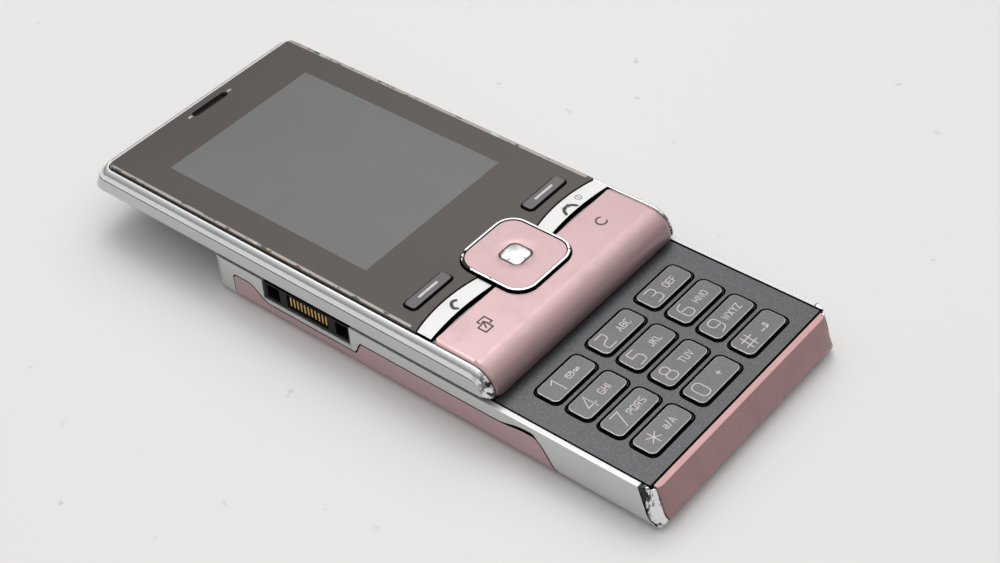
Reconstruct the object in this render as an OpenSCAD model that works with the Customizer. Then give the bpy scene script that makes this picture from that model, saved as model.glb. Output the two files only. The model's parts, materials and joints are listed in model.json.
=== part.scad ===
// Slider phone, lying on its back with the slider open.
// X runs to the phone's right, Y towards the earpiece end, Z up out of the screen.
// The origin is the middle of the base's back face.

/* [Overall] */
// Width of the phone
phone_w = 48; // [47:0.5:54]
// Length of the base, from the foot of the end cap to its top end
base_l = 92.2; // [91:0.2:98]
// Height of the base at its rim
base_h = 7.9; // [7.9:0.1:9]
// Height of the slider, from its underside to the face of the glass
slider_h = 5.1; // [5.1:0.1:6]
// Height of the space between the base rim and the slider
slide_gap = 0.7; // [0.6:0.05:1]
// How far the slider travels
travel = 29; // [25:0.5:29.5]
// Distance from the base's foot to the slider's nose when it is closed
nose_back = 1.9; // [1.6:0.1:3]

/* [Base shell] */
// Radius of the long edges under the base
belly_r = 2.2; // [1.5:0.1:3]
// Radius of the base's upright corners
corner_r = 3; // [2:0.1:3.4]
// Lean of the end cap's face
cap_a = 18; // [12:1:22]
// Width of the cap's bright lip on top
cap_lip = 1; // [0.6:0.05:1.2]
// Thickness of the end cap
cap_t = 1.2; // [0.9:0.1:1.4]
// Thickness of the side walls
wall = 1.6; // [1.5:0.1:2]
// Width of the bright rim beside the keypad plate
rim_w = 1.05; // [0.8:0.05:1.2]
// Thickness of the battery cover
cover_t = 0.8; // [0.6:0.1:1]
// Gap at the seams between casing parts
seam = 0.12; // [0.08:0.02:0.2]

/* [Battery cover] */
// Distance from the base's foot to where the cover's side meets the back
cover_start = 17.7; // [16:0.1:19]
// Length of the sweep that rises from there
cover_sweep = 6.1; // [5:0.1:8]
// Height of the hump at the end of that sweep
cover_hump_h = 6.2; // [5.8:0.1:6.3]
// Height of the cover's side beside the battery
cover_side_h = 5.5; // [5:0.1:5.8]
// Height of the cover's side under the connector
cover_dip_h = 3; // [2.5:0.1:3.3]
// Height of the cover's side at the top end
cover_top_h = 5.6; // [5.4:0.1:6.2]
// Distance from the cover's top edge to the base's top end
cover_end = 5.4; // [5:0.1:6]
// Depth of the nail notch above the cover
notch_h = 0.6; // [0.3:0.1:0.7]

/* [Keypad] */
// Thickness of the keypad plate
plate_t = 0.6; // [0.5:0.05:0.7]
// Width of plate between two key openings
opening_space = 2.1; // [1.8:0.05:2.6]
// Height of a key opening
opening_h = 4.75; // [4:0.05:5]
// Corner radius of a key opening
opening_r = 1.25; // [0.6:0.05:1.8]
// Distance from the phone's side to the openings of the outer keys
key_side = 5.95; // [5.5:0.05:6.3]
// Distance between key rows
key_pitch_y = 5.96; // [5.7:0.02:6.1]
// Distance from the plate's end to the last key row
key_margin = 5.15; // [4.4:0.05:5.5]
// Gap between a key and its opening
key_gap = 0.2; // [0.12:0.02:0.3]
// How far a key stands above the plate
key_proud = 0.35; // [0.2:0.05:0.4]
// How far a key travels
key_travel = 0.3; // [0.2:0.05:0.35]
// Width of the flange that keeps a key under the plate
key_flange = 0.25; // [0.15:0.05:0.3]

/* [Slider shell] */
// Height of the silver lower band
band_low_h = 2.7; // [2.4:0.1:3]
// Width of the chrome frame, from its bore to its outside
frame_w = 1.3; // [1.1:0.1:1.5]
// Drop from the face of the glass to the chrome frame's top edge
frame_drop = 0.5; // [0.3:0.05:0.7]
// Lean of the slider's top end
slider_lean = 28; // [10:1:32]
// Radius of the slider's upright corners at the top end
slider_corner_r = 2.8; // [2.2:0.1:3.2]
// Thickness of the chin panel
chin_t = 1.1; // [0.9:0.1:1.3]
// Drop from the face of the glass to the chin
chin_drop = 0.1; // [0:0.05:0.2]
// Width of the chin panel's side bevel
chin_bevel = 0.9; // [0.5:0.1:1.2]
// Thickness of the slider's floor
floor_t = 0.7; // [0.6:0.05:0.9]

/* [Window and display] */
// Thickness of the front window
glass_t = 1.1; // [0.8:0.1:1.2]
// Width of the bevel round the glass
glass_bevel = 0.55; // [0.3:0.05:0.8]
// Distance from the phone's side to the lit screen
screen_side = 7.3; // [6.8:0.1:8]
// Distance from the slider's nose to the lit screen
screen_low = 31.7; // [31:0.1:33]
// Distance from the slider's top end to the top of the lit screen
screen_top = 13.8; // [13:0.1:14.5]
// Width of the earpiece slot
ear_w = 8.2; // [6:0.2:10]
// Height of the earpiece slot
ear_h = 1.4; // [1:0.1:2]
// Distance from the slider's top end to the earpiece slot
ear_top = 6.3; // [6:0.1:7.3]

/* [Function keys] */
// Width of the navigation key
nav_w = 14.5; // [12:0.1:15]
// Corner radius of the navigation key
nav_r = 3.6; // [2.5:0.1:4.5]
// Width of the navigation key's chrome rim
nav_rim_w = 0.5; // [0.35:0.05:0.7]
// Distance from the slider's nose to the middle of the navigation key
nav_from_nose = 14.6; // [14.2:0.1:15]
// How far the navigation key stands above the glass
nav_proud = 0.5; // [0.3:0.05:0.6]
// Width of the select key
select_w = 4.2; // [3.4:0.1:5]
// Tilt of the navigation key to each side
nav_tilt = 1.2; // [0.8:0.1:1.5]
// Width of a soft key
soft_w = 9.4; // [8:0.1:10]
// Height of a soft key
soft_h = 2.3; // [1.8:0.1:2.5]
// Distance from the middle of the phone to the middle of a soft key
soft_x = 14.6; // [14.2:0.1:14.9]
// Distance from the middle of the navigation key up to a soft key
soft_y = 5.8; // [5.6:0.1:6.2]
// How far a soft key stands above the glass
soft_proud = 0.4; // [0.3:0.05:0.6]
// Radius of the call and end keys' upper edge
strip_r = 30; // [26:1:40]
// Radius of their lower edge
strip_low_r = 48; // [40:1:60]
// Height of the call and end keys
strip_h = 3.3; // [2.6:0.1:3.4]
// How far the function keys travel
press = 0.25; // [0.15:0.05:0.3]
// Gap round the function keys
press_gap = 0.2; // [0.12:0.02:0.25]

/* [Slide mechanism] */
// Thickness of the steel slide plate
steel_t = 0.5; // [0.4:0.05:0.55]
// Distance from the phone's side to the plate's folded walls
rail_inset = 5; // [4.8:0.1:6]
// Width of the rail's outward flange
rail_flange = 1.2; // [0.8:0.1:1.3]
// Thickness of the rail's flange
rail_t = 0.4; // [0.3:0.05:0.5]
// Running gap between rail and guide shoe
rail_gap = 0.1; // [0.08:0.01:0.15]
// Length of a guide shoe
shoe_l = 25; // [22:0.5:25.5]
// Length of a stop tab
stop_l = 0.8; // [0.5:0.1:1]
// Thickness of the fixed rail plate
rail_plate_t = 0.3; // [0.25:0.05:0.35]

/* [Inside the base] */
// Thickness of the main board
board_t = 0.7; // [0.6:0.05:0.8]
// Thickness of the battery
battery_t = 3.8; // [3.4:0.1:3.8]
// Width of the battery
battery_w = 34; // [30:0.5:35]
// Width of the connector opening
socket_w = 19.1; // [17:0.1:19.4]
// Distance from the base's top end to the connector opening
socket_top = 12.5; // [12:0.1:13]
// Height of the connector opening's sill
socket_z = 4; // [3.9:0.05:4.2]
// Number of connector contacts
pin_count = 11; // [9:1:12]
// Distance between connector contacts
pin_pitch = 0.78; // [0.7:0.02:0.8]
// Radius of the camera lens opening
lens_r = 2.6; // [2:0.1:3]

/* [Hidden] */
$fn = 40;

eps = 0.01;
past = 20;           // how far a cutting shape runs past what it cuts
half_w = phone_w / 2;
foot_y = -base_l / 2;
top_y = base_l / 2;
slider_l = base_l - nose_back;
key_columns = 3;
key_rows = 4;
opening_w = (phone_w - 2 * key_side - (key_columns - 1) * opening_space) / key_columns;

// Colours, as the photo shows them
pink = [0.84, 0.68, 0.70];
cap_pink = [0.62, 0.47, 0.48];
silver = [0.76, 0.77, 0.77];
chrome = [0.90, 0.90, 0.91];
plate_grey = [0.38, 0.38, 0.39];
key_grey = [0.45, 0.45, 0.46];
glass_grey = [0.36, 0.33, 0.31];
screen_grey = [0.50, 0.51, 0.49];
steel = [0.62, 0.63, 0.65];
black = [0.10, 0.10, 0.11];
gold = [0.86, 0.70, 0.36];
board_green = [0.10, 0.30, 0.20];
white = [0.92, 0.92, 0.90];

// End cap: its face leans out from the rim to the rounded foot
foot_r = 2.2;
cap_y = foot_y + (base_h - foot_r) * tan(cap_a) + foot_r * (1 - 1 / cos(cap_a));
cap_w = phone_w - 3.4;
cap_h = (base_h - 0.9) / cos(cap_a);
trim_deep = 2.4;      // how far the corner trims reach along the sides
trim_h = (base_h - 1.4) / cos(cap_a);
top_bulge = 0.55;     // how far the top end bulges past its rim
cap_r = 2.6;
cap_seat = 0.15;      // behind the cap, before the frame's end wall
end_wall = 1.2;
plate_end = cap_y + cap_lip;

// Levels in the base, from the top down
plate_z = base_h - 0.1;
plate_low = plate_z - plate_t;
key_top = plate_z + key_proud;
contact = 0.05;       // between pieces that rest against each other
flange_t = 0.3;
flange_z = plate_low - contact;
mat_top = flange_z - flange_t - key_travel - contact;
mat_t = 0.3;
dome_h = 0.3;
board_top = mat_top - mat_t - dome_h;
board_z = board_top - board_t;

// Levels in the base, from the back up
battery_z = cover_t + 0.15;
web_z = battery_z + battery_t + 0.1;
web_t = board_z - contact - web_z;

// Inside walls of the base
bay_x = half_w - wall;
liner_t = 0.7;
liner_x = bay_x + liner_t;
bay_low = foot_y + 5;
bay_top = top_y - wall;
ledge_z = plate_low - contact;
ledge_x = half_w - rim_w;
cavity_z = cover_t + contact;

// Slider levels
slider_z = base_h + slide_gap;
glass_z = slider_z + slider_h;
slider_top = top_y + travel;
nose_y = slider_top - slider_l;
chin_z = glass_z - chin_drop;
nose_z = slider_z + 0.3;
nose_r = chin_z - nose_z;
nose_cy = nose_y + nose_r;
frame_z1 = glass_z - frame_drop;
frame_z0 = slider_z + band_low_h + 0.05;
glass_low = glass_z - glass_t;
bore_x = half_w - frame_w;
rim_gap = 0.15;       // black line between the glass or chin and the chrome frame
glass_x = bore_x - rim_gap;
floor_z = slider_z + floor_t;
slider_wall = 1.2;
slider_bay_x = bore_x - contact - slider_wall;
back_z1 = glass_low - contact;

nav_y = nose_y + nav_from_nose;
nav_z = glass_z + nav_proud;
nav_low = glass_low + 0.3;
nav_hole = nav_w + 2 * press_gap;
strip_x = 14.5;
strip_top = nav_y + 2.5;
strip_y = strip_top - strip_h / 2;
chin_top = nav_y - 1.9;
strip_end = glass_x - 0.1;
strip_gap = 0.15;
chin_room = 0.25;     // under the chin panel, which rocks
soft_gap = 0.3;
dome_film = 0.15;
slider_board_t = 0.6;
slider_board_z = glass_low - press - contact - 0.6 - dome_film - slider_board_t;
slider_dome_z = slider_board_z + slider_board_t + dome_film;
pivot_z = slider_dome_z + 0.15;
carrier_t = 0.35;
soft_cy = nav_y + soft_y;

screen_w = phone_w - 2 * screen_side;
screen_h = slider_l - screen_top - screen_low;
display_w = screen_w + 3.4;
display_l = screen_h + 5;
display_bay_l = display_l - 9;
screen_y = slider_top - screen_top - screen_h / 2;
ear_y = slider_top - ear_top;

// Slide mechanism
rail_x = half_w - rail_inset;
plate_low_z = slider_z - steel_t;
boss_h = 1;           // of the slider's screw bosses above its floor
shoe_top = base_h - contact;
rail_plate_z = board_top + 0.3;
shoe_z = rail_plate_z + rail_plate_t;
rail_z = shoe_z + 0.3 + rail_gap;
shoe_y1 = bay_top - 2.2;
shoe_y0 = shoe_y1 - shoe_l;
stop_gap = 0.15;
rail_y0 = shoe_y0 - stop_gap - stop_l;
rail_y1 = shoe_y1 + stop_gap + stop_l + travel;
rail_out = rail_x + rail_flange;
deck_y0 = nose_y + 1.2;
plate_top_y = deck_y0 - 0.2;
slot_w = 13;
slot_l = 4;
base_slot_y = shoe_y0 - 2;
slider_slot_y = base_slot_y + travel / 2;
flex_w = 11;
flex_t = 0.15;
spring_x = rail_x - 4.5;
spring_reach = 6;     // from a spring's lower end inwards to its upper end
spring_y0 = deck_y0 + 9;
spring_y1 = shoe_y1 - 9;

socket_y1 = top_y - socket_top;
socket_y0 = socket_y1 - socket_w;
socket_cy = (socket_y0 + socket_y1) / 2;
socket_depth = 5.2;
socket_high = rail_plate_z - contact;
pin_x = -half_w + 0.65;
pin_z = socket_z + 0.75;

camera_x = half_w * 0.375;
camera_y = top_y - 10.6;
camera_w = 8.4;
speaker_x = -half_w / 3;
speaker_w = 15;
speaker_l = 8.6;
card_x = -bay_x + socket_depth - 0.9;
card_w = 12.6;
sim_x = card_x + card_w + 0.3;
sim_w = bay_x - 4.8 - sim_x;
sim_l = 14.6;
tray_t = 1.3;
sim_y0 = camera_y - speaker_l / 2 - 0.2 - sim_l;
battery_foot = 20.5;  // from the base's foot to the battery
battery_y0 = foot_y + battery_foot;
battery_l = sim_y0 - 1 - battery_y0;
screw_side = 2;       // from the bay's side to a screw
screw_foot = 18.8;    // from the base's foot to the lower screws
screw_head = 5.2;     // from its top end to the upper screws
mic_x = bay_x - 13.4;
antenna_l = 9.7;
motor_r = (web_z - cavity_z) / 2 - contact;

vol_l = 13;
vol_y = socket_cy;
vol_z = (cover_dip_h + base_h) / 2;
cam_key_l = 8;
cam_key_y = foot_y + 11.8;
side_key_h = 1.9;
side_key_proud = 0.45;
side_key_gap = 0.12;

// ---------- Shapes ----------

module rounded(w, h, r) {
  square([w - 2 * r, h], center = true);
  square([w, h - 2 * r], center = true);
  for (x = [-1, 1], y = [-1, 1])
    translate([x * (w / 2 - r), y * (h / 2 - r)]) circle(r);
}

module slab(w, h, r, z0, z1) {
  translate([0, 0, z0]) linear_extrude(z1 - z0) rounded(w, h, r);
}

module block(x0, x1, y0, y1, z0, z1) {
  translate([x0, y0, z0]) cube([x1 - x0, y1 - y0, z1 - z0]);
}

// A shape drawn in Y and Z, run from x0 to x1
module along_x(x0, x1) {
  translate([x0, 0, 0]) rotate([90, 0, 90]) linear_extrude(x1 - x0) children();
}

// A shape drawn in X and Z, run from y0 to y1
module along_y(y0, y1) {
  translate([0, y1, 0]) rotate([90, 0, 0]) linear_extrude(y1 - y0) children();
}

function arc(cx, cy, r, a0, a1, n = 8) =
  [for (i = [0:n]) let (a = a0 + (a1 - a0) * i / n) [cx + r * cos(a), cy + r * sin(a)]];

// A soft step from (y0, z0) to (y1, z1)
function sweep(y0, y1, z0, z1, n = 8) =
  [for (i = [0:n]) [y0 + (y1 - y0) * i / n, z0 + (z1 - z0) * (1 - cos(180 * i / n)) / 2]];

// ---------- Base casing ----------

module base_side() {
  polygon(concat(
    [[top_y - top_bulge, base_h], [cap_y, base_h]],
    arc(foot_y + foot_r, foot_r, foot_r, 180 - cap_a, 270, 6),
    arc(top_y - foot_r, foot_r, foot_r, -90, 0, 6),
    [[top_y, 3.4], [top_y - top_bulge * 0.3, 5.6]]
  ));
}

// Tool space on the leaning face: X across, Y inwards, Z up the slope from the rim
module on_cap() {
  translate([0, cap_y, base_h]) rotate([-cap_a, 0, 0]) children();
}

module belly() {
  translate([-half_w, belly_r]) square([phone_w, base_h - belly_r]);
  translate([-half_w + belly_r, 0]) square([phone_w - 2 * belly_r, belly_r + eps]);
  for (s = [-1, 1]) translate([s * (half_w - belly_r), belly_r]) circle(belly_r);
}

// Plan of one end of the base, its rounded corners at Y = 0
module end_plan(l) {
  translate([-half_w, corner_r]) square([phone_w, l - corner_r]);
  translate([-half_w + corner_r, 0]) square([phone_w - 2 * corner_r, corner_r + eps]);
  for (s = [-1, 1]) translate([s * (half_w - corner_r), corner_r]) circle(corner_r);
}

module base_outer() {
  intersection() {
    along_y(foot_y - 1, top_y) belly();
    along_x(-half_w - 1, half_w + 1) base_side();
    union() {
      on_cap() translate([0, 0, -past]) linear_extrude(2 * past) end_plan(base_l / 2);
      translate([0, top_y, -1]) rotate([0, 0, 180]) linear_extrude(base_h + 2) end_plan(base_l * 0.6);
    }
  }
}

// Region of the battery cover, grown by g at its seam
module cover_side(g) {
  y0 = foot_y + cover_start;
  hump = y0 + cover_sweep;
  y1 = top_y - cover_end;
  dip0 = socket_y0 - 0.9;
  dip1 = socket_y1 - 1.1;
  rise = 4.8;
  end_r = 1;
  translate([0, g]) polygon(concat(
    [[y0 - g, -2]],
    sweep(y0 - g, hump - g, 0.3, cover_hump_h, 12),
    sweep(hump + 0.6, hump + 7, cover_hump_h, cover_side_h, 6),
    sweep(dip0 - 1.6 + g, dip0 + g, cover_side_h, cover_dip_h, 6),
    sweep(dip1 - g, dip1 + rise - g, cover_dip_h, cover_top_h, 8),
    arc(y1 + g - end_r, cover_top_h - end_r, end_r, 90, 0, 5),
    [[y1 + g, -2]]
  ));
}

// Nail notch: the frame's edge lifts away from the cover
module notch_side() {
  y0 = foot_y + cover_start + 2.6;
  y1 = y0 + 11;
  polygon(concat(
    sweep(y0, y0 + 3.4, 2, cover_hump_h + notch_h, 8),
    sweep(y0 + 4.4, y1, cover_hump_h + notch_h, cover_side_h, 6),
    [[y1, 2]]
  ));
}

// Outline of the end cap on the leaning face
module cap_outline(g) {
  w = cap_w + 2 * g;
  r = cap_r + g;
  translate([-w / 2, -cap_h - g + r]) square([w, cap_h + g - r + 3]);
  translate([-w / 2 + r, -cap_h - g]) square([w - 2 * r, r + g + eps]);
  for (s = [-1, 1]) translate([s * (w / 2 - r), -cap_h - g + r]) circle(r);
}

module cap_prism(g, deep) {
  on_cap() translate([0, deep, 0]) rotate([90, 0, 0]) linear_extrude(deep + 2) cap_outline(g);
  block(-cap_w / 2 - g, cap_w / 2 + g, foot_y, plate_end - seam + g, base_h - 0.8, base_h + 1);
}

// Where a corner trim lies: beside the leaning face, rounded at its lower end
module corner_zone(g) {
  d = trim_deep - seam + g;
  for (s = [0, 1]) mirror([s, 0, 0]) on_cap() along_x(cap_w / 2 - 2, half_w + 1)
    polygon(concat([[-2, 5], [d, 5]], arc(0, -trim_h + d, d, 0, -90, 6), [[-2, -trim_h]]));
}

module end_cap() color(cap_pink) {
  intersection() {
    base_outer();
    difference() {
      cap_prism(0, cap_t);
      // Slope of the bright lip
      translate([0, plate_end, base_h]) rotate([16, 0, 0])
        translate([-half_w, -5, 0]) cube([phone_w, 5, 2]);
      plate_step();
    }
  }
}

// Space of the keypad plate, which ends against the cap and the corner trims
module plate_step() {
  block(-ledge_x, ledge_x, plate_end - seam, deck_y0, ledge_z, base_h + 1);
}

module corner_trims() color(chrome) {
  difference() {
    intersection() { base_outer(); corner_zone(0); }
    cap_prism(seam, cap_t + cap_seat);
    on_cap() block(-half_w + 1.1, half_w - 1.1, cap_t + 0.1, 10, -past, 5);
    block(-liner_x, liner_x, foot_y, plate_end + seam, base_h - 0.4, base_h + 1);
    plate_step();
  }
}

module side_key_slots() {
  g = side_key_gap;
  for (k = [[vol_y, vol_l], [cam_key_y, cam_key_l]])
    block(bay_x - 1, half_w + 1, k[0] - k[1] / 2 - g, k[0] + k[1] / 2 + g,
      vol_z - side_key_h / 2 - g, vol_z + side_key_h / 2 + g);
}

module base_frame() color(silver) {
  difference() {
    base_outer();
    // Bay for everything inside, and the step that the keypad plate lies in
    block(-bay_x, bay_x, bay_low, bay_top, cavity_z, base_h + 1);
    plate_step();
    block(-ledge_x, ledge_x, deck_y0 - eps, bay_top, ledge_z, base_h + 1);
    // Way out for the rails through the top end
    block(-rail_out - 0.5, rail_out + 0.5, bay_top - 1, top_y + 1, rail_z - rail_gap - 0.05, base_h + 1);
    // The cover: its whole back, and its sides outside the liner
    intersection() {
      along_x(-half_w - 1, half_w + 1) cover_side(seam);
      union() {
        block(-half_w - 1, half_w + 1, foot_y, top_y, -1, cavity_z);
        for (s = [-1, 1]) translate([s * (half_w + liner_x + 1) / 2, 0, past / 2 - 1])
          cube([half_w - liner_x + 1, base_l, past], center = true);
      }
    }
    for (s = [-1, 1]) translate([s * half_w, 0, 0]) along_x(-0.6, 0.6) notch_side();
    // End cap, corner trims and connector
    cap_prism(seam, cap_t + cap_seat);
    corner_zone(seam);
    block(-half_w - 1, -bay_x + eps, socket_y0, socket_y1, socket_z, base_h + 1);
    side_key_slots();
    // Soft slope outside the rim
    for (s = [-1, 1]) translate([s * half_w, 0, base_h - 0.25]) rotate([0, s * 45, 0])
      translate([s > 0 ? 0 : -2, -base_l, 0]) cube([2, 2 * base_l, 2]);
  }
}

module back_cover() color(pink) {
  difference() {
    intersection() {
      base_outer();
      along_x(-half_w - 1, half_w + 1) cover_side(0);
    }
    block(-liner_x - 0.1, liner_x + 0.1, foot_y, top_y, cover_t, base_h);
    // Camera opening and loudspeaker slots
    translate([camera_x, camera_y, -1]) cylinder(r = lens_r + 1.2 + seam, h = cover_t + 2);
    for (i = [-2:2]) translate([speaker_x, camera_y + i * 1.4, -1]) linear_extrude(cover_t + 2)
      rounded(9, 0.7, 0.3);
  }
}

module camera_ring() color(chrome) {
  translate([camera_x, camera_y, 0.1]) difference() {
    cylinder(r = lens_r + 1.2, h = cover_t + 0.3);
    translate([0, 0, -1]) cylinder(r = lens_r, h = cover_t + 3);
  }
}

// ---------- Keypad ----------

function key_x(c) = (c - (key_columns - 1) / 2) * (opening_w + opening_space);
function key_y(r) = plate_end + key_margin + (key_rows - 1 - r) * key_pitch_y;

module keypad_plate() color(plate_grey) {
  x = ledge_x - seam / 2;
  y0 = plate_end;
  y1 = plate_top_y;
  difference() {
    block(-x, x, y0, y1, plate_low, plate_z);
    for (c = [0:key_columns - 1], r = [0:key_rows - 1])
      translate([key_x(c), key_y(r), 0]) slab(opening_w, opening_h, opening_r, plate_low - 1, plate_z + 1);
  }
}

module key(c, r) color(key_grey) {
  w = opening_w - 2 * key_gap;
  h = opening_h - 2 * key_gap;
  kr = opening_r - key_gap;
  translate([key_x(c), key_y(r), 0]) {
    slab(w, h, kr, flange_z - flange_t, key_top);
    slab(opening_w + 2 * key_flange, opening_h + 2 * key_flange, opening_r, flange_z - flange_t, flange_z);
  }
}

module keypad_mat() color([0.75, 0.75, 0.72]) {
  block(-bay_x + 1.5, bay_x - 1.5, bay_low + 0.15, key_y(0) + 3.2, mat_top - mat_t, mat_top);
}

module key_domes() color(steel) {
  difference() {
    block(-bay_x + 1.6, bay_x - 1.6, bay_low + 0.25, key_y(0) + 3.1, board_top + 0.02, board_top + 0.1);
    for (p = screw_places()) translate([p[0], p[1], 0]) cylinder(r = 0.85, h = base_h);
  }
  for (c = [0:key_columns - 1], r = [0:key_rows - 1]) translate([key_x(c), key_y(r), board_top + 0.05])
    cylinder(r1 = 2, r2 = 1.1, h = dome_h - 0.1);
}

// ---------- Inside the base ----------

module connector_room(g) {
  block(-half_w - 1, -half_w + socket_depth + 0.4 + g,
    socket_y0 - 0.3 - g, socket_y1 + 0.3 + g, 0, base_h + 1);
}

module side_key_room(g) {
  for (k = [[vol_y, vol_l], [cam_key_y, cam_key_l]])
    block(half_w - wall - 1.6 - g, half_w, k[0] - k[1] / 2 - 1.2 - g, k[0] + k[1] / 2 + 1.2 + g, 0, base_h);
}

module chassis() color([0.28, 0.28, 0.30]) {
  g = 0.1;
  rib = 0.9;
  difference() {
    union() {
      // Web under the main board
      block(-bay_x + g, bay_x - g, bay_low + g, bay_top - g, web_z, web_z + web_t);
      // Walls of the battery and card bays
      for (s = [-1, 1]) translate([s * (battery_w / 2 + 0.25 + rib / 2), 0, 0])
        block(-rib / 2, rib / 2, battery_y0 - 0.3, battery_y0 + battery_l, cavity_z + 0.1, web_z + eps);
      block(-battery_w / 2 - 1, battery_w / 2 + 1, battery_y0 - 0.25 - rib, battery_y0 - 0.25,
        cavity_z + 0.1, web_z + eps);
    }
    connector_room(0);
    side_key_room(0);
    // Screw holes and light way for the camera
    for (p = screw_places()) translate([p[0], p[1], 0]) cylinder(r = 0.75, h = base_h);
    block(camera_x - camera_w / 2 - 0.1, camera_x + camera_w / 2 + 0.1,
      camera_y - camera_w / 2 - 0.1, camera_y + camera_w / 2 + 0.1, 0, base_h);
  }
}

function screw_places() =
  [for (x = [-1, 1], y = [foot_y + screw_foot, top_y - screw_head]) [x * (bay_x - screw_side), y]];

module base_screws() color(steel) {
  for (p = screw_places()) translate([p[0], p[1], 0]) {
    difference() {
      translate([0, 0, web_z - 0.75]) cylinder(r = 1.2, h = 0.7);
      translate([0, 0, web_z - 1]) cylinder(r = 0.5, h = 0.6, $fn = 6);
    }
    translate([0, 0, web_z - 0.1]) cylinder(r = 0.7, h = board_top + 0.25 - web_z + 0.1);
  }
}

module main_board() color(board_green) {
  difference() {
    block(-bay_x + 0.5, bay_x - 0.5, bay_low + 0.4, bay_top - 0.3, board_z, board_top);
    connector_room(0.1);
    side_key_room(0.1);
    for (p = screw_places()) translate([p[0], p[1], 0]) cylinder(r = 0.85, h = base_h);
    block(camera_x - camera_w / 2 - 0.2, camera_x + camera_w / 2 + 0.2,
      camera_y - camera_w / 2 - 0.2, camera_y + camera_w / 2 + 0.2, 0, base_h);
  }
}

module shield_can() color(steel) {
  block(-bay_x + 7.4, bay_x - 12.4, deck_y0 + 3, base_slot_y - slot_l,
    board_top + 0.02, rail_plate_z - contact);
}

module connector_shell() color(black) {
  x0 = -half_w + 0.35;
  x1 = -half_w + socket_depth;
  y0 = socket_y0 + 0.05;
  y1 = socket_y1 - 0.05;
  z0 = socket_z + 0.05;
  front_z = ledge_z + 0.4;
  face = (pin_count + 0.6) * pin_pitch / 2;
  pocket = 2.7;
  difference() {
    union() {
      block(x0, -bay_x - 0.05, y0, y1, z0, front_z);
      block(x0, x1, y0, y1, z0, socket_high);
    }
    for (s = [-1, 1]) translate([0, socket_cy + s * (socket_w - pocket - 1.3) / 2, 0]) {
      block(x0 - 1, x0 + 1, -pocket / 2, pocket / 2, z0 + 0.4, front_z - 0.4);
      block(x0 - 1, x0 + 3.4, -pocket / 2, pocket / 2, z0 + 0.4, socket_high - 0.3);
    }
    block(x0 - 1, pin_x + 0.3, socket_cy - face, socket_cy + face, z0 + 0.4, front_z - 0.3);
    for (i = [0:pin_count - 1]) translate([0, pin_y(i), 0])
      block(x0, x1 + 1, -0.2, 0.2, pin_z - 0.05, pin_z + 0.35);
  }
}

function pin_y(i) = socket_cy + (i - (pin_count - 1) / 2) * pin_pitch;

// Each contact stands on the housing's face and runs back to the board
module connector_pins() color(gold) {
  for (i = [0:pin_count - 1]) translate([0, pin_y(i), 0]) {
    block(pin_x, pin_x + 0.28, -0.17, 0.17, pin_z, pin_z + 1.9);
    block(pin_x, -half_w + socket_depth + 0.3, -0.17, 0.17, pin_z, pin_z + 0.3);
  }
}

module battery() color([0.22, 0.22, 0.24]) {
  difference() {
    translate([0, battery_y0 + battery_l / 2, battery_z]) linear_extrude(battery_t)
      rounded(battery_w, battery_l - 0.6, 0.8);
    // Contact pads' recess
    for (x = [-1:1]) block(x * 2.6 + 4.2, x * 2.6 + 6, battery_y0 + battery_l - 0.5,
      battery_y0 + battery_l, battery_z + 0.9, battery_z + 2.4);
  }
}

module battery_contacts() color(gold) {
  for (x = [-1:1]) block(x * 2.6 + 4.4, x * 2.6 + 5.8, battery_y0 + battery_l - 0.25,
    sim_y0 - 0.15, battery_z + 1.1, web_z - contact);
}

module tray(x0, w, l, z1) {
  difference() {
    block(x0, x0 + w, sim_y0, sim_y0 + l, z1 - tray_t, z1);
    block(x0 + 0.5, x0 + w - 0.5, sim_y0 + 0.5, sim_y0 + l + 1, z1 - tray_t + 0.25, z1 - 0.25);
    block(x0 + 2.5, x0 + w - 2.5, sim_y0 + 3, sim_y0 + l + 1, z1 - tray_t - 1, z1 - tray_t + 1);
  }
}

module sim_holder() color(steel) tray(sim_x, sim_w, sim_l, web_z - contact);

module memory_slot() color(steel) tray(card_x, card_w, sim_l, web_z - contact);

module camera_module() color(black) {
  translate([camera_x, camera_y, 0]) {
    difference() {
      block(-camera_w / 2, camera_w / 2, -camera_w / 2, camera_w / 2, cover_t + 0.75, board_top);
      translate([0, 0, cover_t]) cylinder(r = lens_r - 1.2, h = 1.4);
    }
    difference() {
      translate([0, 0, cover_t - 0.1]) cylinder(r = lens_r - 0.15, h = 1);
      translate([0, 0, cover_t - 1]) cylinder(r = lens_r - 1.2, h = 3);
    }
  }
}

module loudspeaker() color(black) {
  difference() {
    block(speaker_x - speaker_w / 2, speaker_x + speaker_w / 2,
      camera_y - speaker_l / 2, camera_y + speaker_l / 2, cover_t + 0.3, web_z - contact);
    translate([speaker_x, camera_y, cover_t]) linear_extrude(0.6) rounded(speaker_w - 2, speaker_l - 2, 1.5);
  }
}

module vibration_motor() color(steel) {
  y = foot_y + 11;
  translate([bay_x - 5.6, y, cavity_z + contact + motor_r]) rotate([90, 0, 0]) {
    cylinder(r = motor_r, h = 8, center = true);
    translate([0, 0, -5]) cylinder(r = 0.4, h = 3, center = true);
  }
}

module antenna() color([0.80, 0.78, 0.72]) {
  x0 = -bay_x + 1;
  x1 = mic_x - 3;
  y0 = bay_low + 0.3;
  rib = 1.2;
  difference() {
    block(x0, x1, y0, y0 + antenna_l, cavity_z + 0.1, web_z - contact);
    block(x0 + rib, x1 - rib, y0 + rib, y0 + antenna_l - rib, cavity_z + 1, web_z + 1);
  }
}

module microphone() color(steel) {
  translate([mic_x, bay_low + 3, web_z - 1.25]) cylinder(r = 2, h = 1.2);
}

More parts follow.
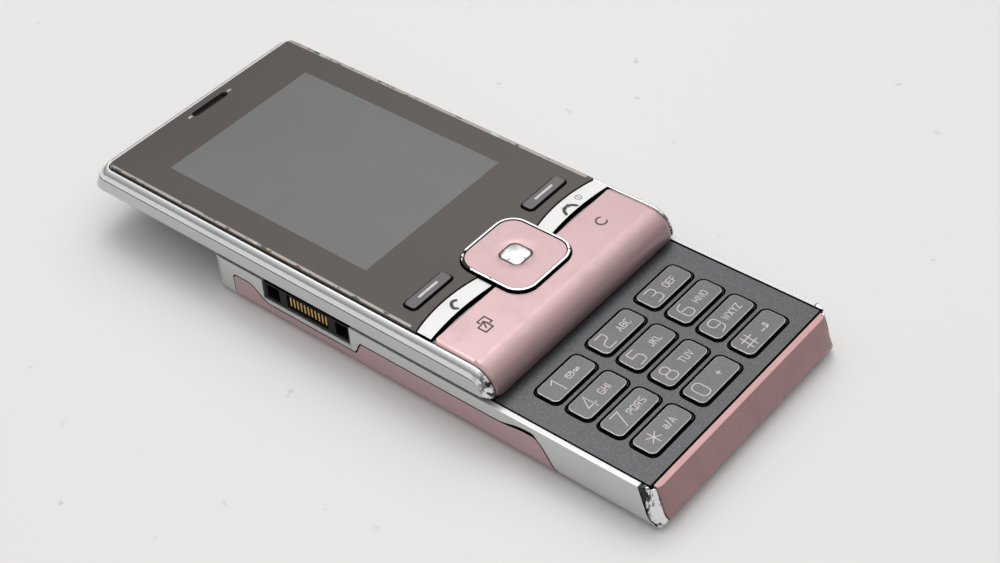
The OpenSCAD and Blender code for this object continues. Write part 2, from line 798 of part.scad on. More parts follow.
module side_key(y, l) {
  x0 = bay_x - 0.6;
  block(x0, half_w + side_key_proud, y - l / 2, y + l / 2, vol_z - side_key_h / 2, vol_z + side_key_h / 2);
  block(x0, x0 + 0.35, y - l / 2 - 0.5, y + l / 2 + 0.5,
    vol_z - side_key_h / 2 - 0.3, vol_z + side_key_h / 2 + 0.3);
}

module volume_key() color(silver) side_key(vol_y, vol_l);

module camera_key() color(silver) side_key(cam_key_y, cam_key_l);

// ---------- Slide mechanism ----------

module rail_plate() color(steel) {
  x = bay_x - 0.1;
  difference() {
    block(-x, x, deck_y0, bay_top - contact, rail_plate_z, rail_plate_z + rail_plate_t);
    block(-slot_w / 2, slot_w / 2, base_slot_y - slot_l / 2, base_slot_y + slot_l / 2, 0, base_h);
    side_key_room(0);
    for (s = [-1, 1]) translate([s * spring_x, spring_y0, 0]) cylinder(r = 0.5, h = base_h);
  }
}

module guide_shoes() color([0.90, 0.90, 0.86]) {
  lip_z = rail_z + rail_t + rail_gap;
  out_x = rail_out + rail_gap + 0.05;
  for (s = [-1, 1]) mirror([s > 0 ? 0 : 1, 0, 0]) along_y(shoe_y0, shoe_y1) polygon([
    [rail_x - 0.5, shoe_z], [out_x + 0.9, shoe_z], [out_x + 0.9, shoe_top],
    [rail_x + rail_gap + 0.05, shoe_top], [rail_x + rail_gap + 0.05, lip_z], [out_x, lip_z],
    [out_x, shoe_z + 0.3], [rail_x - 0.5, shoe_z + 0.3]
  ]);
}

module slide_plate() color(steel) {
  difference() {
    union() {
      block(-rail_x, rail_x, rail_y0, rail_y1, plate_low_z, slider_z);
      for (s = [-1, 1]) mirror([s > 0 ? 0 : 1, 0, 0]) {
        along_y(rail_y0, rail_y1) polygon([
          [rail_x - rail_t, plate_low_z + eps], [rail_x - rail_t, rail_z], [rail_out, rail_z],
          [rail_out, rail_z + rail_t], [rail_x, rail_z + rail_t], [rail_x, plate_low_z + eps]
        ]);
        for (y = [rail_y0, rail_y1 - stop_l])
          block(rail_x - eps, rail_out, y, y + stop_l, rail_z + eps, plate_low_z + steel_t / 2);
      }
    }
    block(-slot_w / 2, slot_w / 2, slider_slot_y - slot_l / 2, slider_slot_y + slot_l / 2, 0, past);
    for (p = slide_screw_places()) translate([p[0], p[1], 0]) {
      cylinder(r = 0.75, h = past);
      translate([0, 0, plate_low_z - 1]) cylinder(r = 1.45, h = 1 + steel_t * 0.6);
    }
    for (s = [-1, 1]) translate([s * (spring_x - spring_reach), spring_y1, 0]) cylinder(r = 0.5, h = past);
  }
}

// Two screws inside the display frame's bay and two above the display
function slide_screw_places() =
  [for (x = [-1, 1], y = [-display_bay_l / 2 + 2.3, display_l / 2 + 3.5]) [x * (rail_x - 5), screen_y + y]];

module slider_screws() color([0.35, 0.35, 0.37]) {
  for (p = slide_screw_places()) translate([p[0], p[1], 0]) {
    difference() {
      translate([0, 0, plate_low_z + 0.03]) cylinder(r = 1.4, h = steel_t * 0.6 - 0.06);
      translate([0, 0, plate_low_z - 0.1]) cylinder(r = 0.5, h = 0.3, $fn = 6);
    }
    translate([0, 0, plate_low_z + steel_t * 0.6 - 0.04])
      cylinder(r = 0.65, h = steel_t * 0.4 + floor_t + boss_h - 0.1);
  }
}

// Wire springs that push the slider over its middle point
module assist_springs() color([0.75, 0.75, 0.78]) {
  wire = 0.22;
  z = (shoe_z + plate_low_z) / 2;
  a = [spring_x, spring_y0];
  b = [spring_x - spring_reach, spring_y1];
  coil = [spring_x + 0.7, (a[1] + b[1]) / 2];
  for (s = [-1, 1]) mirror([s > 0 ? 0 : 1, 0, 0]) {
    translate([coil[0], coil[1], z]) rotate_extrude() translate([1.5, 0]) circle(wire);
    for (p = [a, b]) {
      d = coil - p;
      n = norm(d);
      translate([p[0], p[1], z]) rotate([0, 0, atan2(d[1], d[0])]) rotate([0, 90, 0])
        cylinder(r = wire, h = n - 1.5);
    }
    translate([a[0], a[1], rail_plate_z + 0.05]) cylinder(r = 0.45, h = z + wire - rail_plate_z);
    translate([b[0], b[1], z - wire]) cylinder(r = 0.45, h = slider_z - contact - z + wire);
  }
}

module slider_flex() color([0.80, 0.52, 0.22]) {
  low = shoe_z + 0.15;
  high = plate_low_z - 0.15;
  r = (high - low) / 2;
  fold_y = spring_y1 - 2;
  b = base_slot_y;
  t = slider_slot_y;
  along_x(-flex_w / 2, flex_w / 2) {
    translate([b, low]) square([fold_y - b, flex_t]);
    translate([t, high - flex_t]) square([fold_y - t, flex_t]);
    difference() {
      translate([fold_y, low + r]) circle(r);
      translate([fold_y, low + r]) circle(r - flex_t);
      translate([fold_y - 2 * r, low - 1]) square([2 * r, 4]);
    }
    translate([b - flex_t, board_top + 0.05]) square([flex_t + eps, low + flex_t - board_top - 0.05]);
    translate([t - flex_t, high - flex_t]) square([flex_t + eps, floor_z + 0.3 - high + flex_t]);
  }
}

// ---------- Slider casing ----------

// Plan of the slider from y0 to its top end, moved in by d
module slider_plan(d, y0) {
  r = slider_corner_r - d;
  x = half_w - d;
  translate([-x, y0]) square([2 * x, slider_top - d - r - y0]);
  translate([-x + r, y0]) square([2 * x - 2 * r, slider_top - d - y0]);
  for (s = [-1, 1]) translate([s * (x - r), slider_top - d - r]) circle(r);
}

// The top end leans: what stands upright is sheared back by its height
module leaning() {
  k = tan(slider_lean);
  multmatrix([[1, 0, 0, 0], [0, 1, -k, k * slider_z], [0, 0, 1, 0], [0, 0, 0, 1]]) children();
}

// Slider-wide body from y0 to the leaning top end, moved in by d
module slider_body(d, y0, z0, z1) {
  mid = slider_top - 20;
  block(-half_w + d, half_w - d, y0, mid, z0, z1);
  leaning() translate([0, 0, z0]) linear_extrude(z1 - z0) slider_plan(d, mid - 1);
}

// Side view of what lies under the chrome frame
module back_side() {
  r = frame_z0 - contact - nose_z;
  polygon(concat(
    [[slider_top + 1, slider_z], [slider_top + 1, frame_z0 - contact]],
    arc(nose_cy, nose_z, r, 90, 180, 10),
    [[nose_cy - r, slider_z]]
  ));
}

module slider_back() color(silver) {
  inner = nose_cy + 0.4;
  lip_y = nose_cy - nose_r + chin_t + 0.25;
  difference() {
    union() {
      intersection() {
        slider_body(0, nose_y, slider_z, frame_z0);
        along_x(-half_w, half_w) back_side();
      }
      // Floor behind the chin panel's nose
      block(-bore_x + rim_gap, bore_x - rim_gap, lip_y, nose_cy + 1, slider_z, floor_z);
      // Wall inside the chrome frame, which carries the window
      slider_body(frame_w + contact, inner, slider_z + eps, back_z1);
    }
    difference() {
      slider_body(frame_w + contact + slider_wall, lip_y - 1, floor_z, glass_z + 1);
      for (p = slide_screw_places()) translate([p[0], p[1], 0]) cylinder(r = 1.6, h = floor_z + boss_h);
    }
    block(-slot_w / 2, slot_w / 2, slider_slot_y - slot_l / 2, slider_slot_y + slot_l / 2, 0, floor_z + 1);
    for (p = slide_screw_places()) translate([p[0], p[1], 0]) cylinder(r = 0.7, h = floor_z + boss_h - 0.1);
    // Room for the chin panel, its nose and its rocking
    block(-bore_x, bore_x, lip_y - 1, inner + 0.1, floor_z, past);
    block(-bore_x, bore_x, nose_y - 1, lip_y, slider_z - 1, past);
    block(-bore_x, bore_x, nose_y, chin_top + 0.3, chin_z - chin_t - chin_room, past);
  }
}

// Section of the chrome frame: a soft shoulder, u measured out from the bore
function shoulder() =
  let (h = frame_z1 - frame_z0, r = (frame_w * frame_w + h * h) / (2 * frame_w) )
  [for (i = [0:8]) let (v = h * i / 8) [frame_w - (r - sqrt(r * r - v * v)) * 0.72, v]];

module frame_section(u0, v0) {
  translate([u0, v0]) polygon(concat([[0, 0]], shoulder(), [[0, frame_z1 - frame_z0]]));
}

module slider_frame() color(chrome) {
  corner_y = slider_top - slider_corner_r;
  for (s = [-1, 1]) mirror([s > 0 ? 0 : 1, 0, 0]) {
    frame_rail(nose_cy, corner_y - 6);
    leaning() {
      frame_rail(corner_y - 12, corner_y);
      translate([half_w - slider_corner_r, corner_y, 0])
        rotate_extrude(angle = 90) frame_section(slider_corner_r - frame_w, frame_z0);
    }
    // The frame turns down round the nose
    translate([bore_x, nose_cy, nose_z]) rotate([0, 90, 0]) rotate([0, 0, 180])
      rotate_extrude(angle = 90) nose_section();
  }
  leaning() translate([-half_w + slider_corner_r, slider_top - frame_w, 0]) rotate([90, 0, 90])
    linear_extrude(phone_w - 2 * slider_corner_r) frame_section(0, frame_z0);
}

module frame_rail(y0, y1) {
  translate([0, y1, 0]) rotate([90, 0, 0]) linear_extrude(y1 - y0) frame_section(bore_x, frame_z0);
}

module nose_section() {
  r0 = frame_z0 - nose_z;
  polygon([for (p = concat([[0, 0]], shoulder(), [[0, frame_z1 - frame_z0]])) [r0 + p[1], p[0]]]);
}

// Plan of the call or end key, grown by g
module strip_plan(s, g) {
  x0 = nav_hole / 2 + 0.05 - g;
  x1 = strip_end + g;
  intersection() {
    difference() {
      translate([s * strip_x, strip_top - strip_r]) circle(strip_r + g, $fn = 180);
      translate([s * strip_x, strip_top - strip_h - strip_low_r]) circle(strip_low_r - g, $fn = 180);
    }
    translate([s > 0 ? x0 : -x1, nav_y - 6]) square([x1 - x0, 16]);
  }
}

// Front of the phone above the call and end keys, less a gap
module above_strips(g) {
  difference() {
    translate([-half_w - 1, chin_top]) square([phone_w + 2, slider_l]);
    for (s = [-1, 1]) intersection() {
      translate([s * strip_x, strip_top - strip_r]) circle(strip_r + g, $fn = 180);
      translate([s > 0 ? 0 : -half_w - 2, chin_top - 50]) square([half_w + 2, 60]);
    }
  }
}

module nav_hole() {
  translate([0, nav_y, 0]) slab(nav_hole, nav_hole, nav_r + press_gap, slider_z, nav_z + 1);
}

module front_window() color(glass_grey, 0.9) {
  d = frame_w + rim_gap;
  bevel_z = glass_z - glass_bevel * 0.8;
  difference() {
    intersection() {
      slider_body(d, nose_y, glass_low, glass_z);
      translate([0, 0, slider_z]) linear_extrude(slider_h + 1) above_strips(strip_gap);
    }
    nav_hole();
    for (s = [-1, 1]) translate([s * soft_x, soft_cy, 0])
      slab(soft_w + 2 * soft_gap, soft_h + 2 * soft_gap, 0.7 + soft_gap, slider_z, glass_z + 1);
    translate([0, ear_y, 0]) slab(ear_w, ear_h, ear_h / 2 - 0.05, slider_z, glass_z + 1);
    // Bevel along the sides and the top end
    for (s = [-1, 1]) translate([s * glass_x, 0, bevel_z]) rotate([0, s * 51.3, 0])
      translate([s > 0 ? 0 : -3, nose_y, 0]) cube([3, slider_l + 5, 3]);
    translate([-half_w, slider_top - d - (bevel_z - slider_z) * tan(slider_lean), bevel_z])
      rotate([-51.3, 0, 0]) cube([phone_w, 3, 3]);
  }
}

// Section of the chin panel, r measured out from the nose's axis
module chin_section() {
  r1 = nose_r;
  polygon([
    [r1 - chin_t, -glass_x], [r1 - chin_bevel * 0.4, -glass_x], [r1, -glass_x + chin_bevel],
    [r1, glass_x - chin_bevel], [r1 - chin_bevel * 0.4, glass_x], [r1 - chin_t, glass_x]
  ]);
}

module chin_panel() color(pink) {
  w = 2 * glass_x;
  r = 0.9;
  difference() {
    union() {
      intersection() {
        translate([0, nose_cy - eps, nose_z]) rotate([0, -90, -90])
          linear_extrude(chin_top - nose_cy + 1) chin_section();
        // Upper edge with rounded ends
        translate([0, chin_top - 10, 0]) slab(w, 20, r, slider_z, glass_z + 1);
      }
      translate([0, nose_cy, nose_z]) rotate([0, 90, 0]) rotate([0, 0, 180])
        rotate_extrude(angle = 90) chin_section();
      // Rib that the panel rocks on
      block(-1.2, 1.2, nose_cy + 0.5, nav_y - nav_hole / 2 - 0.4,
        slider_board_z + slider_board_t + contact, chin_z - chin_t + eps);
    }
    nav_hole();
  }
}

// ---------- Inside the slider ----------

module display_module() color(screen_grey) {
  translate([0, screen_y, 0]) slab(display_w, display_l, 0.4, glass_low - 1.5, glass_low - 0.1);
}

module display_frame() color([0.85, 0.85, 0.85]) {
  z1 = glass_low - 0.5;
  translate([0, screen_y, 0]) difference() {
    slab(display_w + 2, display_l + 1.6, 0.6, floor_z + 0.1, z1);
    slab(display_w + 0.3, display_l + 0.3, 0.4, glass_low - 1.55, z1 + 1);
    // Clear of the screw bosses
    slab(display_w - 4, display_bay_l, 1, floor_z - 1, floor_z + boss_h + 0.3);
  }
}

module earpiece() color(black) {
  translate([0, ear_y - 1, 0]) slab(ear_w + 2.8, ear_h + 3, 1.2, floor_z + 0.3, glass_low - 0.35);
}

module earpiece_mesh() color([0.16, 0.16, 0.17]) {
  difference() {
    translate([0, ear_y, 0])
      slab(ear_w - 0.1, ear_h - 0.1, ear_h / 2 - 0.1, glass_low - 0.25, glass_low + 0.5);
    for (i = [-5:5]) translate([i * 0.65, ear_y, 0]) cylinder(r = 0.18, h = past, $fn = 16);
  }
}

module slider_board() color(board_green) {
  y0 = nose_cy + 1.2;
  y1 = soft_cy + 2;
  x = slider_bay_x - 0.3;
  z = slider_board_z;
  difference() {
    union() {
      block(-x, x, y0, y1, z, z + slider_board_t);
      for (p = concat([[0, nav_y]], [for (s = [-1, 1]) [s * soft_x, soft_cy]],
          [for (s = [-1, 1]) [s * strip_x, strip_y]]))
        translate([p[0], p[1], z + slider_board_t - eps]) cylinder(r1 = 2, r2 = 1.2, h = dome_film);
      // Feet down to the floor
      for (s = [-1, 1], y = [y0 + 1, y1 - 1]) translate([s * (x - 1.2), y, floor_z + 0.02])
        cylinder(r = 0.8, h = z - floor_z);
    }
    for (s = [-1, 1]) translate([s * 10, y1 - 6, 0]) cylinder(r = 0.5, h = past);
  }
}

// ---------- Function keys ----------

module nav_pad_plan(d) {
  translate([0, nav_y]) rounded(nav_w - 2 * d, nav_w - 2 * d, nav_r - d);
}

module nav_carrier() color([0.30, 0.30, 0.32]) {
  translate([0, nav_y, 0]) difference() {
    slab(nav_w - 4, nav_w - 4, 2, pivot_z, pivot_z + carrier_t);
    translate([0, 0, pivot_z - 1]) cylinder(r = 1.2, h = 3);
  }
}

module nav_key() color(pink) {
  d = nav_rim_w + 0.06;
  z0 = pivot_z + carrier_t + 0.3;
  difference() {
    translate([0, 0, z0]) linear_extrude(nav_z - 0.1 - z0) nav_pad_plan(d);
    translate([0, nav_y, 0]) slab(select_w + 0.4, select_w + 0.4, 1.3, slider_z, nav_z + 1);
    // Shallow dish towards the select key
    translate([0, nav_y, nav_z + 59.75]) sphere(r = 60, $fn = 160);
  }
}

module nav_rim() color(chrome) {
  difference() {
    translate([0, 0, nav_low]) linear_extrude(nav_z - nav_low) nav_pad_plan(0);
    translate([0, 0, nav_low - 1]) linear_extrude(nav_z - nav_low + 2) nav_pad_plan(nav_rim_w);
  }
}

module select_key() color(white) {
  z0 = pivot_z + carrier_t + contact + press;
  translate([0, nav_y, 0]) intersection() {
    slab(select_w, select_w, 1.1, z0, nav_z + 0.3);
    translate([0, 0, nav_z + 0.05 - 14]) sphere(r = 14, $fn = 120);
  }
}

module soft_key(s) color([0.34, 0.31, 0.33]) {
  z0 = slider_dome_z + press + 0.02;
  translate([s * soft_x, soft_cy, 0]) {
    slab(soft_w, soft_h, 0.7, z0, glass_z + soft_proud);
    slab(soft_w + 1, soft_h + 0.7, 0.8, z0, glass_low - 0.1);
  }
}

module soft_key_left() soft_key(-1);
module soft_key_right() soft_key(1);

module strip_key(s) color(white) {
  z0 = slider_dome_z + press + 0.02;
  difference() {
    union() {
      translate([0, 0, z0]) linear_extrude(glass_z - 0.2 - z0) strip_plan(s, 0);
      translate([0, 0, z0]) linear_extrude(0.35) strip_plan(s, 0.4);
    }
    block(-slider_bay_x - 9, -slider_bay_x, nose_y, slider_top, slider_z, back_z1 + press + 0.05);
    block(slider_bay_x, slider_bay_x + 9, nose_y, slider_top, slider_z, back_z1 + press + 0.05);
  }
}

module call_key() strip_key(-1);
module end_key() strip_key(1);

// ---------- The phone ----------

base_frame();
keypad_plate();
key(0, 0);  // key_1
key(1, 0);  // key_2
key(2, 0);  // key_3
key(0, 1);  // key_4
key(1, 1);  // key_5
key(2, 1);  // key_6
key(0, 2);  // key_7
key(1, 2);  // key_8
key(2, 2);  // key_9
key(0, 3);  // key_star
key(1, 3);  // key_0
key(2, 3);  // key_hash
keypad_mat();
key_domes();
end_cap();
corner_trims();
back_cover();
camera_ring();
chassis();
main_board();
shield_can();
connector_shell();
connector_pins();
battery();
battery_contacts();
sim_holder();
memory_slot();
camera_module();
loudspeaker();
vibration_motor();
antenna();
microphone();
volume_key();
camera_key();
rail_plate();
guide_shoes();
base_screws();
assist_springs();
slider_flex();
slide_plate();
slider_screws();
slider_back();
slider_frame();
front_window();
display_module();
display_frame();
earpiece_mesh();
earpiece();
slider_board();
chin_panel();
nav_carrier();
nav_key();
nav_rim();
select_key();
soft_key_left();
soft_key_right();
call_key();
end_key();
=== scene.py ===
"""Looks for a slider phone: casing with softened edges, lacquers, chrome, printed legends, glass and wear."""
import json
import math

import bmesh
import bpy
from mathutils import Matrix, Vector


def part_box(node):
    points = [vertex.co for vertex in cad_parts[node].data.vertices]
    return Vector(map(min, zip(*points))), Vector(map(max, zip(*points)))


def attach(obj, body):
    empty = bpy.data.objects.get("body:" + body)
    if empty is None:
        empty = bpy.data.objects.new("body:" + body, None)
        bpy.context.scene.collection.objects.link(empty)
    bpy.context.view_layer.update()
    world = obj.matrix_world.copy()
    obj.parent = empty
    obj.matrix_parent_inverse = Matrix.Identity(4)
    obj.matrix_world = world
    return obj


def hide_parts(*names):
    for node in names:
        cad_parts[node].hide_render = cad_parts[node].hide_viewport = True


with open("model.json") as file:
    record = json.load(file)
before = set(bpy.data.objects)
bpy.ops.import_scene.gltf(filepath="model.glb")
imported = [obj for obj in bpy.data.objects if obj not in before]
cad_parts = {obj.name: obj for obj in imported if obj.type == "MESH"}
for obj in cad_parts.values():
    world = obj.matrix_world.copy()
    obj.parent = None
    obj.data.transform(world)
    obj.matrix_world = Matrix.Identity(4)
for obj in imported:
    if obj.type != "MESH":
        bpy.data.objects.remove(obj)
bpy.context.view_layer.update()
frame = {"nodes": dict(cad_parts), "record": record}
NODES = frame["nodes"]
RECORD = frame["record"]
MM = 0.001

BODY_OF = {node: body for body, nodes in RECORD["behaviour"]["bodies"].items() for node in nodes}


def low(node):
    """The lowest corner of a node's box, in mm."""
    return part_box(node)[0] / MM


def high(node):
    """The highest corner of a node's box, in mm."""
    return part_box(node)[1] / MM


# ---------- Camera, fitted to the photograph ----------

CAMERA_AT = Vector((-171.38, -150.69, 214.31)) * MM
CAMERA_AZIMUTH, CAMERA_ELEVATION, CAMERA_ROLL = -48.086, 42.117, -4.181
FOCAL_PIXELS, IMAGE_WIDTH = 1911.5, 1000
SENSOR = 36.0     # mm


def make_camera():
    a, e = math.radians(CAMERA_AZIMUTH), math.radians(CAMERA_ELEVATION)
    back = Vector((math.sin(a) * math.cos(e), -math.cos(a) * math.cos(e), math.sin(e)))
    right = Vector((math.cos(a), math.sin(a), 0))
    roll = Matrix.Rotation(math.radians(CAMERA_ROLL), 3, "Z")
    turn = Matrix((right, back.cross(right), back)).transposed() @ roll
    data = bpy.data.cameras.new("camera")
    data.sensor_width = SENSOR
    data.lens = FOCAL_PIXELS / IMAGE_WIDTH * SENSOR
    data.clip_start, data.clip_end = 0.01, 20
    camera = bpy.data.objects.new("camera", data)
    camera.matrix_world = Matrix.Translation(CAMERA_AT) @ turn.to_4x4()
    bpy.context.scene.collection.objects.link(camera)
    bpy.context.scene.camera = camera


# ---------- Materials ----------

GLASS_IOR = 1.5      # suits lacquer and plastic too
RANGE_INPUTS = ("From Min", "From Max", "To Min", "To Max")


class Look:
    """A Principled material and short ways to add to its node tree. Texture scales are per metre."""

    def __init__(self, name, color, rough, metallic=0.0, coat=0.0, coat_rough=0.05,
                 alpha=None, specular=None):
        self.mat = bpy.data.materials.new(name)
        self.mat.use_nodes = True
        self.nodes, self.links = self.mat.node_tree.nodes, self.mat.node_tree.links
        self.bsdf = self.nodes["Principled BSDF"]
        self.place = self.nodes.new("ShaderNodeTexCoord").outputs["Object"]
        self.color = tuple(color) + (1.0,)
        self.bsdf.inputs["Base Color"].default_value = self.color
        self.bsdf.inputs["Roughness"].default_value = rough
        self.bsdf.inputs["Metallic"].default_value = metallic
        self.bsdf.inputs["Coat Weight"].default_value = coat
        self.bsdf.inputs["Coat Roughness"].default_value = coat_rough
        self.bsdf.inputs["IOR"].default_value = GLASS_IOR
        self.rough = rough
        self.height = None
        self.paint = None
        if specular is not None:
            self.bsdf.inputs["Specular IOR Level"].default_value = specular
        if alpha is not None:
            self.bsdf.inputs["Alpha"].default_value = alpha

    def noise(self, scale, detail=2.0, rough=0.5, stretch=None):
        node = self.nodes.new("ShaderNodeTexNoise")
        node.inputs["Scale"].default_value = scale
        node.inputs["Detail"].default_value = detail
        node.inputs["Roughness"].default_value = rough
        if stretch:
            mapping = self.nodes.new("ShaderNodeMapping")
            mapping.inputs["Scale"].default_value = stretch
            self.links.new(self.place, mapping.inputs["Vector"])
            self.links.new(mapping.outputs["Vector"], node.inputs["Vector"])
        else:
            self.links.new(self.place, node.inputs["Vector"])
        return node.outputs["Fac"]

    def ramp(self, value, start, end, out_start=0.0, out_end=1.0):
        """Maps start..end to out_start..out_end, and holds the ends."""
        node = self.nodes.new("ShaderNodeMapRange")
        for name, number in zip(RANGE_INPUTS, (start, end, out_start, out_end)):
            node.inputs[name].default_value = number
        self.links.new(value, node.inputs["Value"])
        return node.outputs["Result"]

    def math(self, kind, a, b):
        node = self.nodes.new("ShaderNodeMath")
        node.operation = kind
        for socket, value in zip(node.inputs, (a, b)):
            if isinstance(value, (int, float)):
                socket.default_value = value
            else:
                self.links.new(value, socket)
        return node.outputs[0]

    def axis(self, index):
        """One coordinate of the place on the part, in metres: 0, 1 or 2 for X, Y or Z."""
        node = self.nodes.new("ShaderNodeSeparateXYZ")
        self.links.new(self.place, node.inputs[0])
        return node.outputs[index]

    def tint(self, mask, color):
        """Paints color where mask is 1."""
        node = self.nodes.new("ShaderNodeMix")
        node.data_type = "RGBA"
        self.links.new(mask, node.inputs["Factor"])
        if self.paint is None:
            node.inputs["A"].default_value = self.color
        else:
            self.links.new(self.paint, node.inputs["A"])
        node.inputs["B"].default_value = tuple(color) + (1.0,)
        self.paint = node.outputs["Result"]
        self.links.new(self.paint, self.bsdf.inputs["Base Color"])

    def roughen(self, mask, to):
        """Goes from the look's own roughness to another where mask is 1."""
        self.links.new(self.ramp(mask, 0, 1, self.rough, to), self.bsdf.inputs["Roughness"])

    def bump(self, value, depth_mm, strength=1.0):
        node = self.nodes.new("ShaderNodeBump")
        node.inputs["Distance"].default_value = depth_mm * MM
        node.inputs["Strength"].default_value = strength
        self.links.new(value, node.inputs["Height"])
        if self.height is not None:
            self.links.new(self.height, node.inputs["Normal"])
        self.height = node.outputs["Normal"]
        self.links.new(self.height, self.bsdf.inputs["Normal"])


def shade(rgb, factor):
    return tuple(min(1.0, c * factor) for c in rgb)


def lacquer(name, color, rough=0.34, metallic=0.25, coat=0.25):
    """Satin metallic paint: fine flakes, faint clouding and rubbed spots."""
    look = Look(name, color, rough, metallic, coat, 0.2)
    look.tint(look.ramp(look.noise(6500, 1), 0.42, 0.62, 0, 0.35), shade(color, 1.22))
    look.tint(look.ramp(look.noise(5200, 1), 0.40, 0.28, 0, 0.30), shade(color, 0.72))
    look.tint(look.ramp(look.noise(90, 3), 0.45, 0.7, 0, 0.18), shade(color, 0.88))
    look.roughen(look.ramp(look.noise(260, 4), 0.45, 0.65), rough + 0.12)
    look.bump(look.noise(4200, 2), 0.004, 0.5)
    return look


PINK = (0.54, 0.36, 0.37)
NOSE_SHADE_HEIGHTS = (0.0122, 0.0092)      # heights in metres between which the nose's painted shade sets in
NOSE_END = (-0.0110, -0.0138)     # and the Y between which the frame's wear does


def paint_looks():
    looks = {}
    looks["pink"] = lacquer("pink lacquer", PINK, rough=0.32, metallic=0.45)
    # A darker copy of the pink: painted shade on the cover's sides
    looks["cover pink"] = lacquer("cover lacquer with painted shade", (0.50, 0.33, 0.345), metallic=0.3)
    # The nose gets painted shade, darker towards its foot
    nose = lacquer("nose lacquer with painted shade", PINK, rough=0.32, metallic=0.45)
    nose.tint(nose.ramp(nose.axis(2), *NOSE_SHADE_HEIGHTS, 0, 0.72), (0.07, 0.04, 0.046))
    looks["nose pink"] = nose
    looks["lip pink"] = lacquer("lip lacquer", (0.58, 0.335, 0.325), rough=0.36, metallic=0.35)
    # A darker copy of the pink: painted shade on the end cap's face, while its lip keeps the paler pink above
    looks["cap pink"] = lacquer("cap lacquer with painted shade", (0.35, 0.20, 0.205), rough=0.4, metallic=0.35)
    looks["silver"] = lacquer("silver paint", (0.60, 0.61, 0.61), rough=0.3, metallic=0.8, coat=0.3)
    looks["band"] = lacquer("silver band", (0.56, 0.57, 0.58), rough=0.28, metallic=0.7, coat=0.3)

    bright = Look("bright rim", (0.64, 0.64, 0.635), 0.24, 0.3, 0.3)
    bright.tint(bright.ramp(bright.noise(900, 5, 0.7), 0.66, 0.70), (0.20, 0.18, 0.17))
    bright.roughen(bright.ramp(bright.noise(500, 3), 0.45, 0.7), 0.32)
    bright.bump(bright.noise(700, 3), 0.008, 0.4)
    looks["bright rim"] = bright
    return looks


def metal_looks():
    looks = {}
    satin = Look("bright frame", (0.86, 0.87, 0.88), 0.16, 0.75, 0.4)
    satin.tint(satin.ramp(satin.noise(420, 5, 0.7), 0.69, 0.72), (0.15, 0.145, 0.14))
    satin.tint(satin.ramp(satin.noise(60, 2), 0.4, 0.7, 0, 0.3), (0.72, 0.73, 0.74))
    # The nose's corners are worn through
    nose_end = satin.ramp(satin.axis(1), *NOSE_END)
    spots = satin.ramp(satin.noise(1100, 4, 0.6), 0.47, 0.53)
    satin.tint(satin.math("MULTIPLY", spots, nose_end), (0.03, 0.03, 0.032))
    satin.roughen(satin.ramp(satin.noise(300, 2), 0.45, 0.7), 0.2)
    looks["frame"] = satin

    chrome = Look("worn chrome", (0.88, 0.88, 0.89), 0.07, 1.0)
    chrome.tint(chrome.ramp(chrome.noise(420, 5, 0.7), 0.69, 0.73), (0.20, 0.19, 0.18))
    chrome.roughen(chrome.ramp(chrome.noise(700, 4), 0.45, 0.7), 0.22)
    chrome.bump(chrome.noise(160, 3), 0.012, 0.5)
    looks["chrome"] = chrome

    corner = Look("scuffed chrome", (0.80, 0.81, 0.83), 0.09, 1.0)
    scuffs = corner.ramp(corner.noise(620, 5, 0.65, (1, 1, 0.35)), 0.50, 0.54)
    corner.tint(scuffs, (0.04, 0.04, 0.045))
    corner.roughen(scuffs, 0.35)
    corner.bump(corner.noise(260, 3), 0.06, 0.8)
    looks["corner"] = corner

    rim = Look("chrome worn through", (0.86, 0.86, 0.87), 0.1, 1.0)
    bare = rim.ramp(rim.noise(330, 4, 0.65), 0.585, 0.61)
    rim.tint(bare, (0.03, 0.028, 0.027))
    rim.roughen(bare, 0.45)
    rim.bump(rim.noise(500, 3), 0.01, 0.4)
    looks["rim chrome"] = rim
    return looks


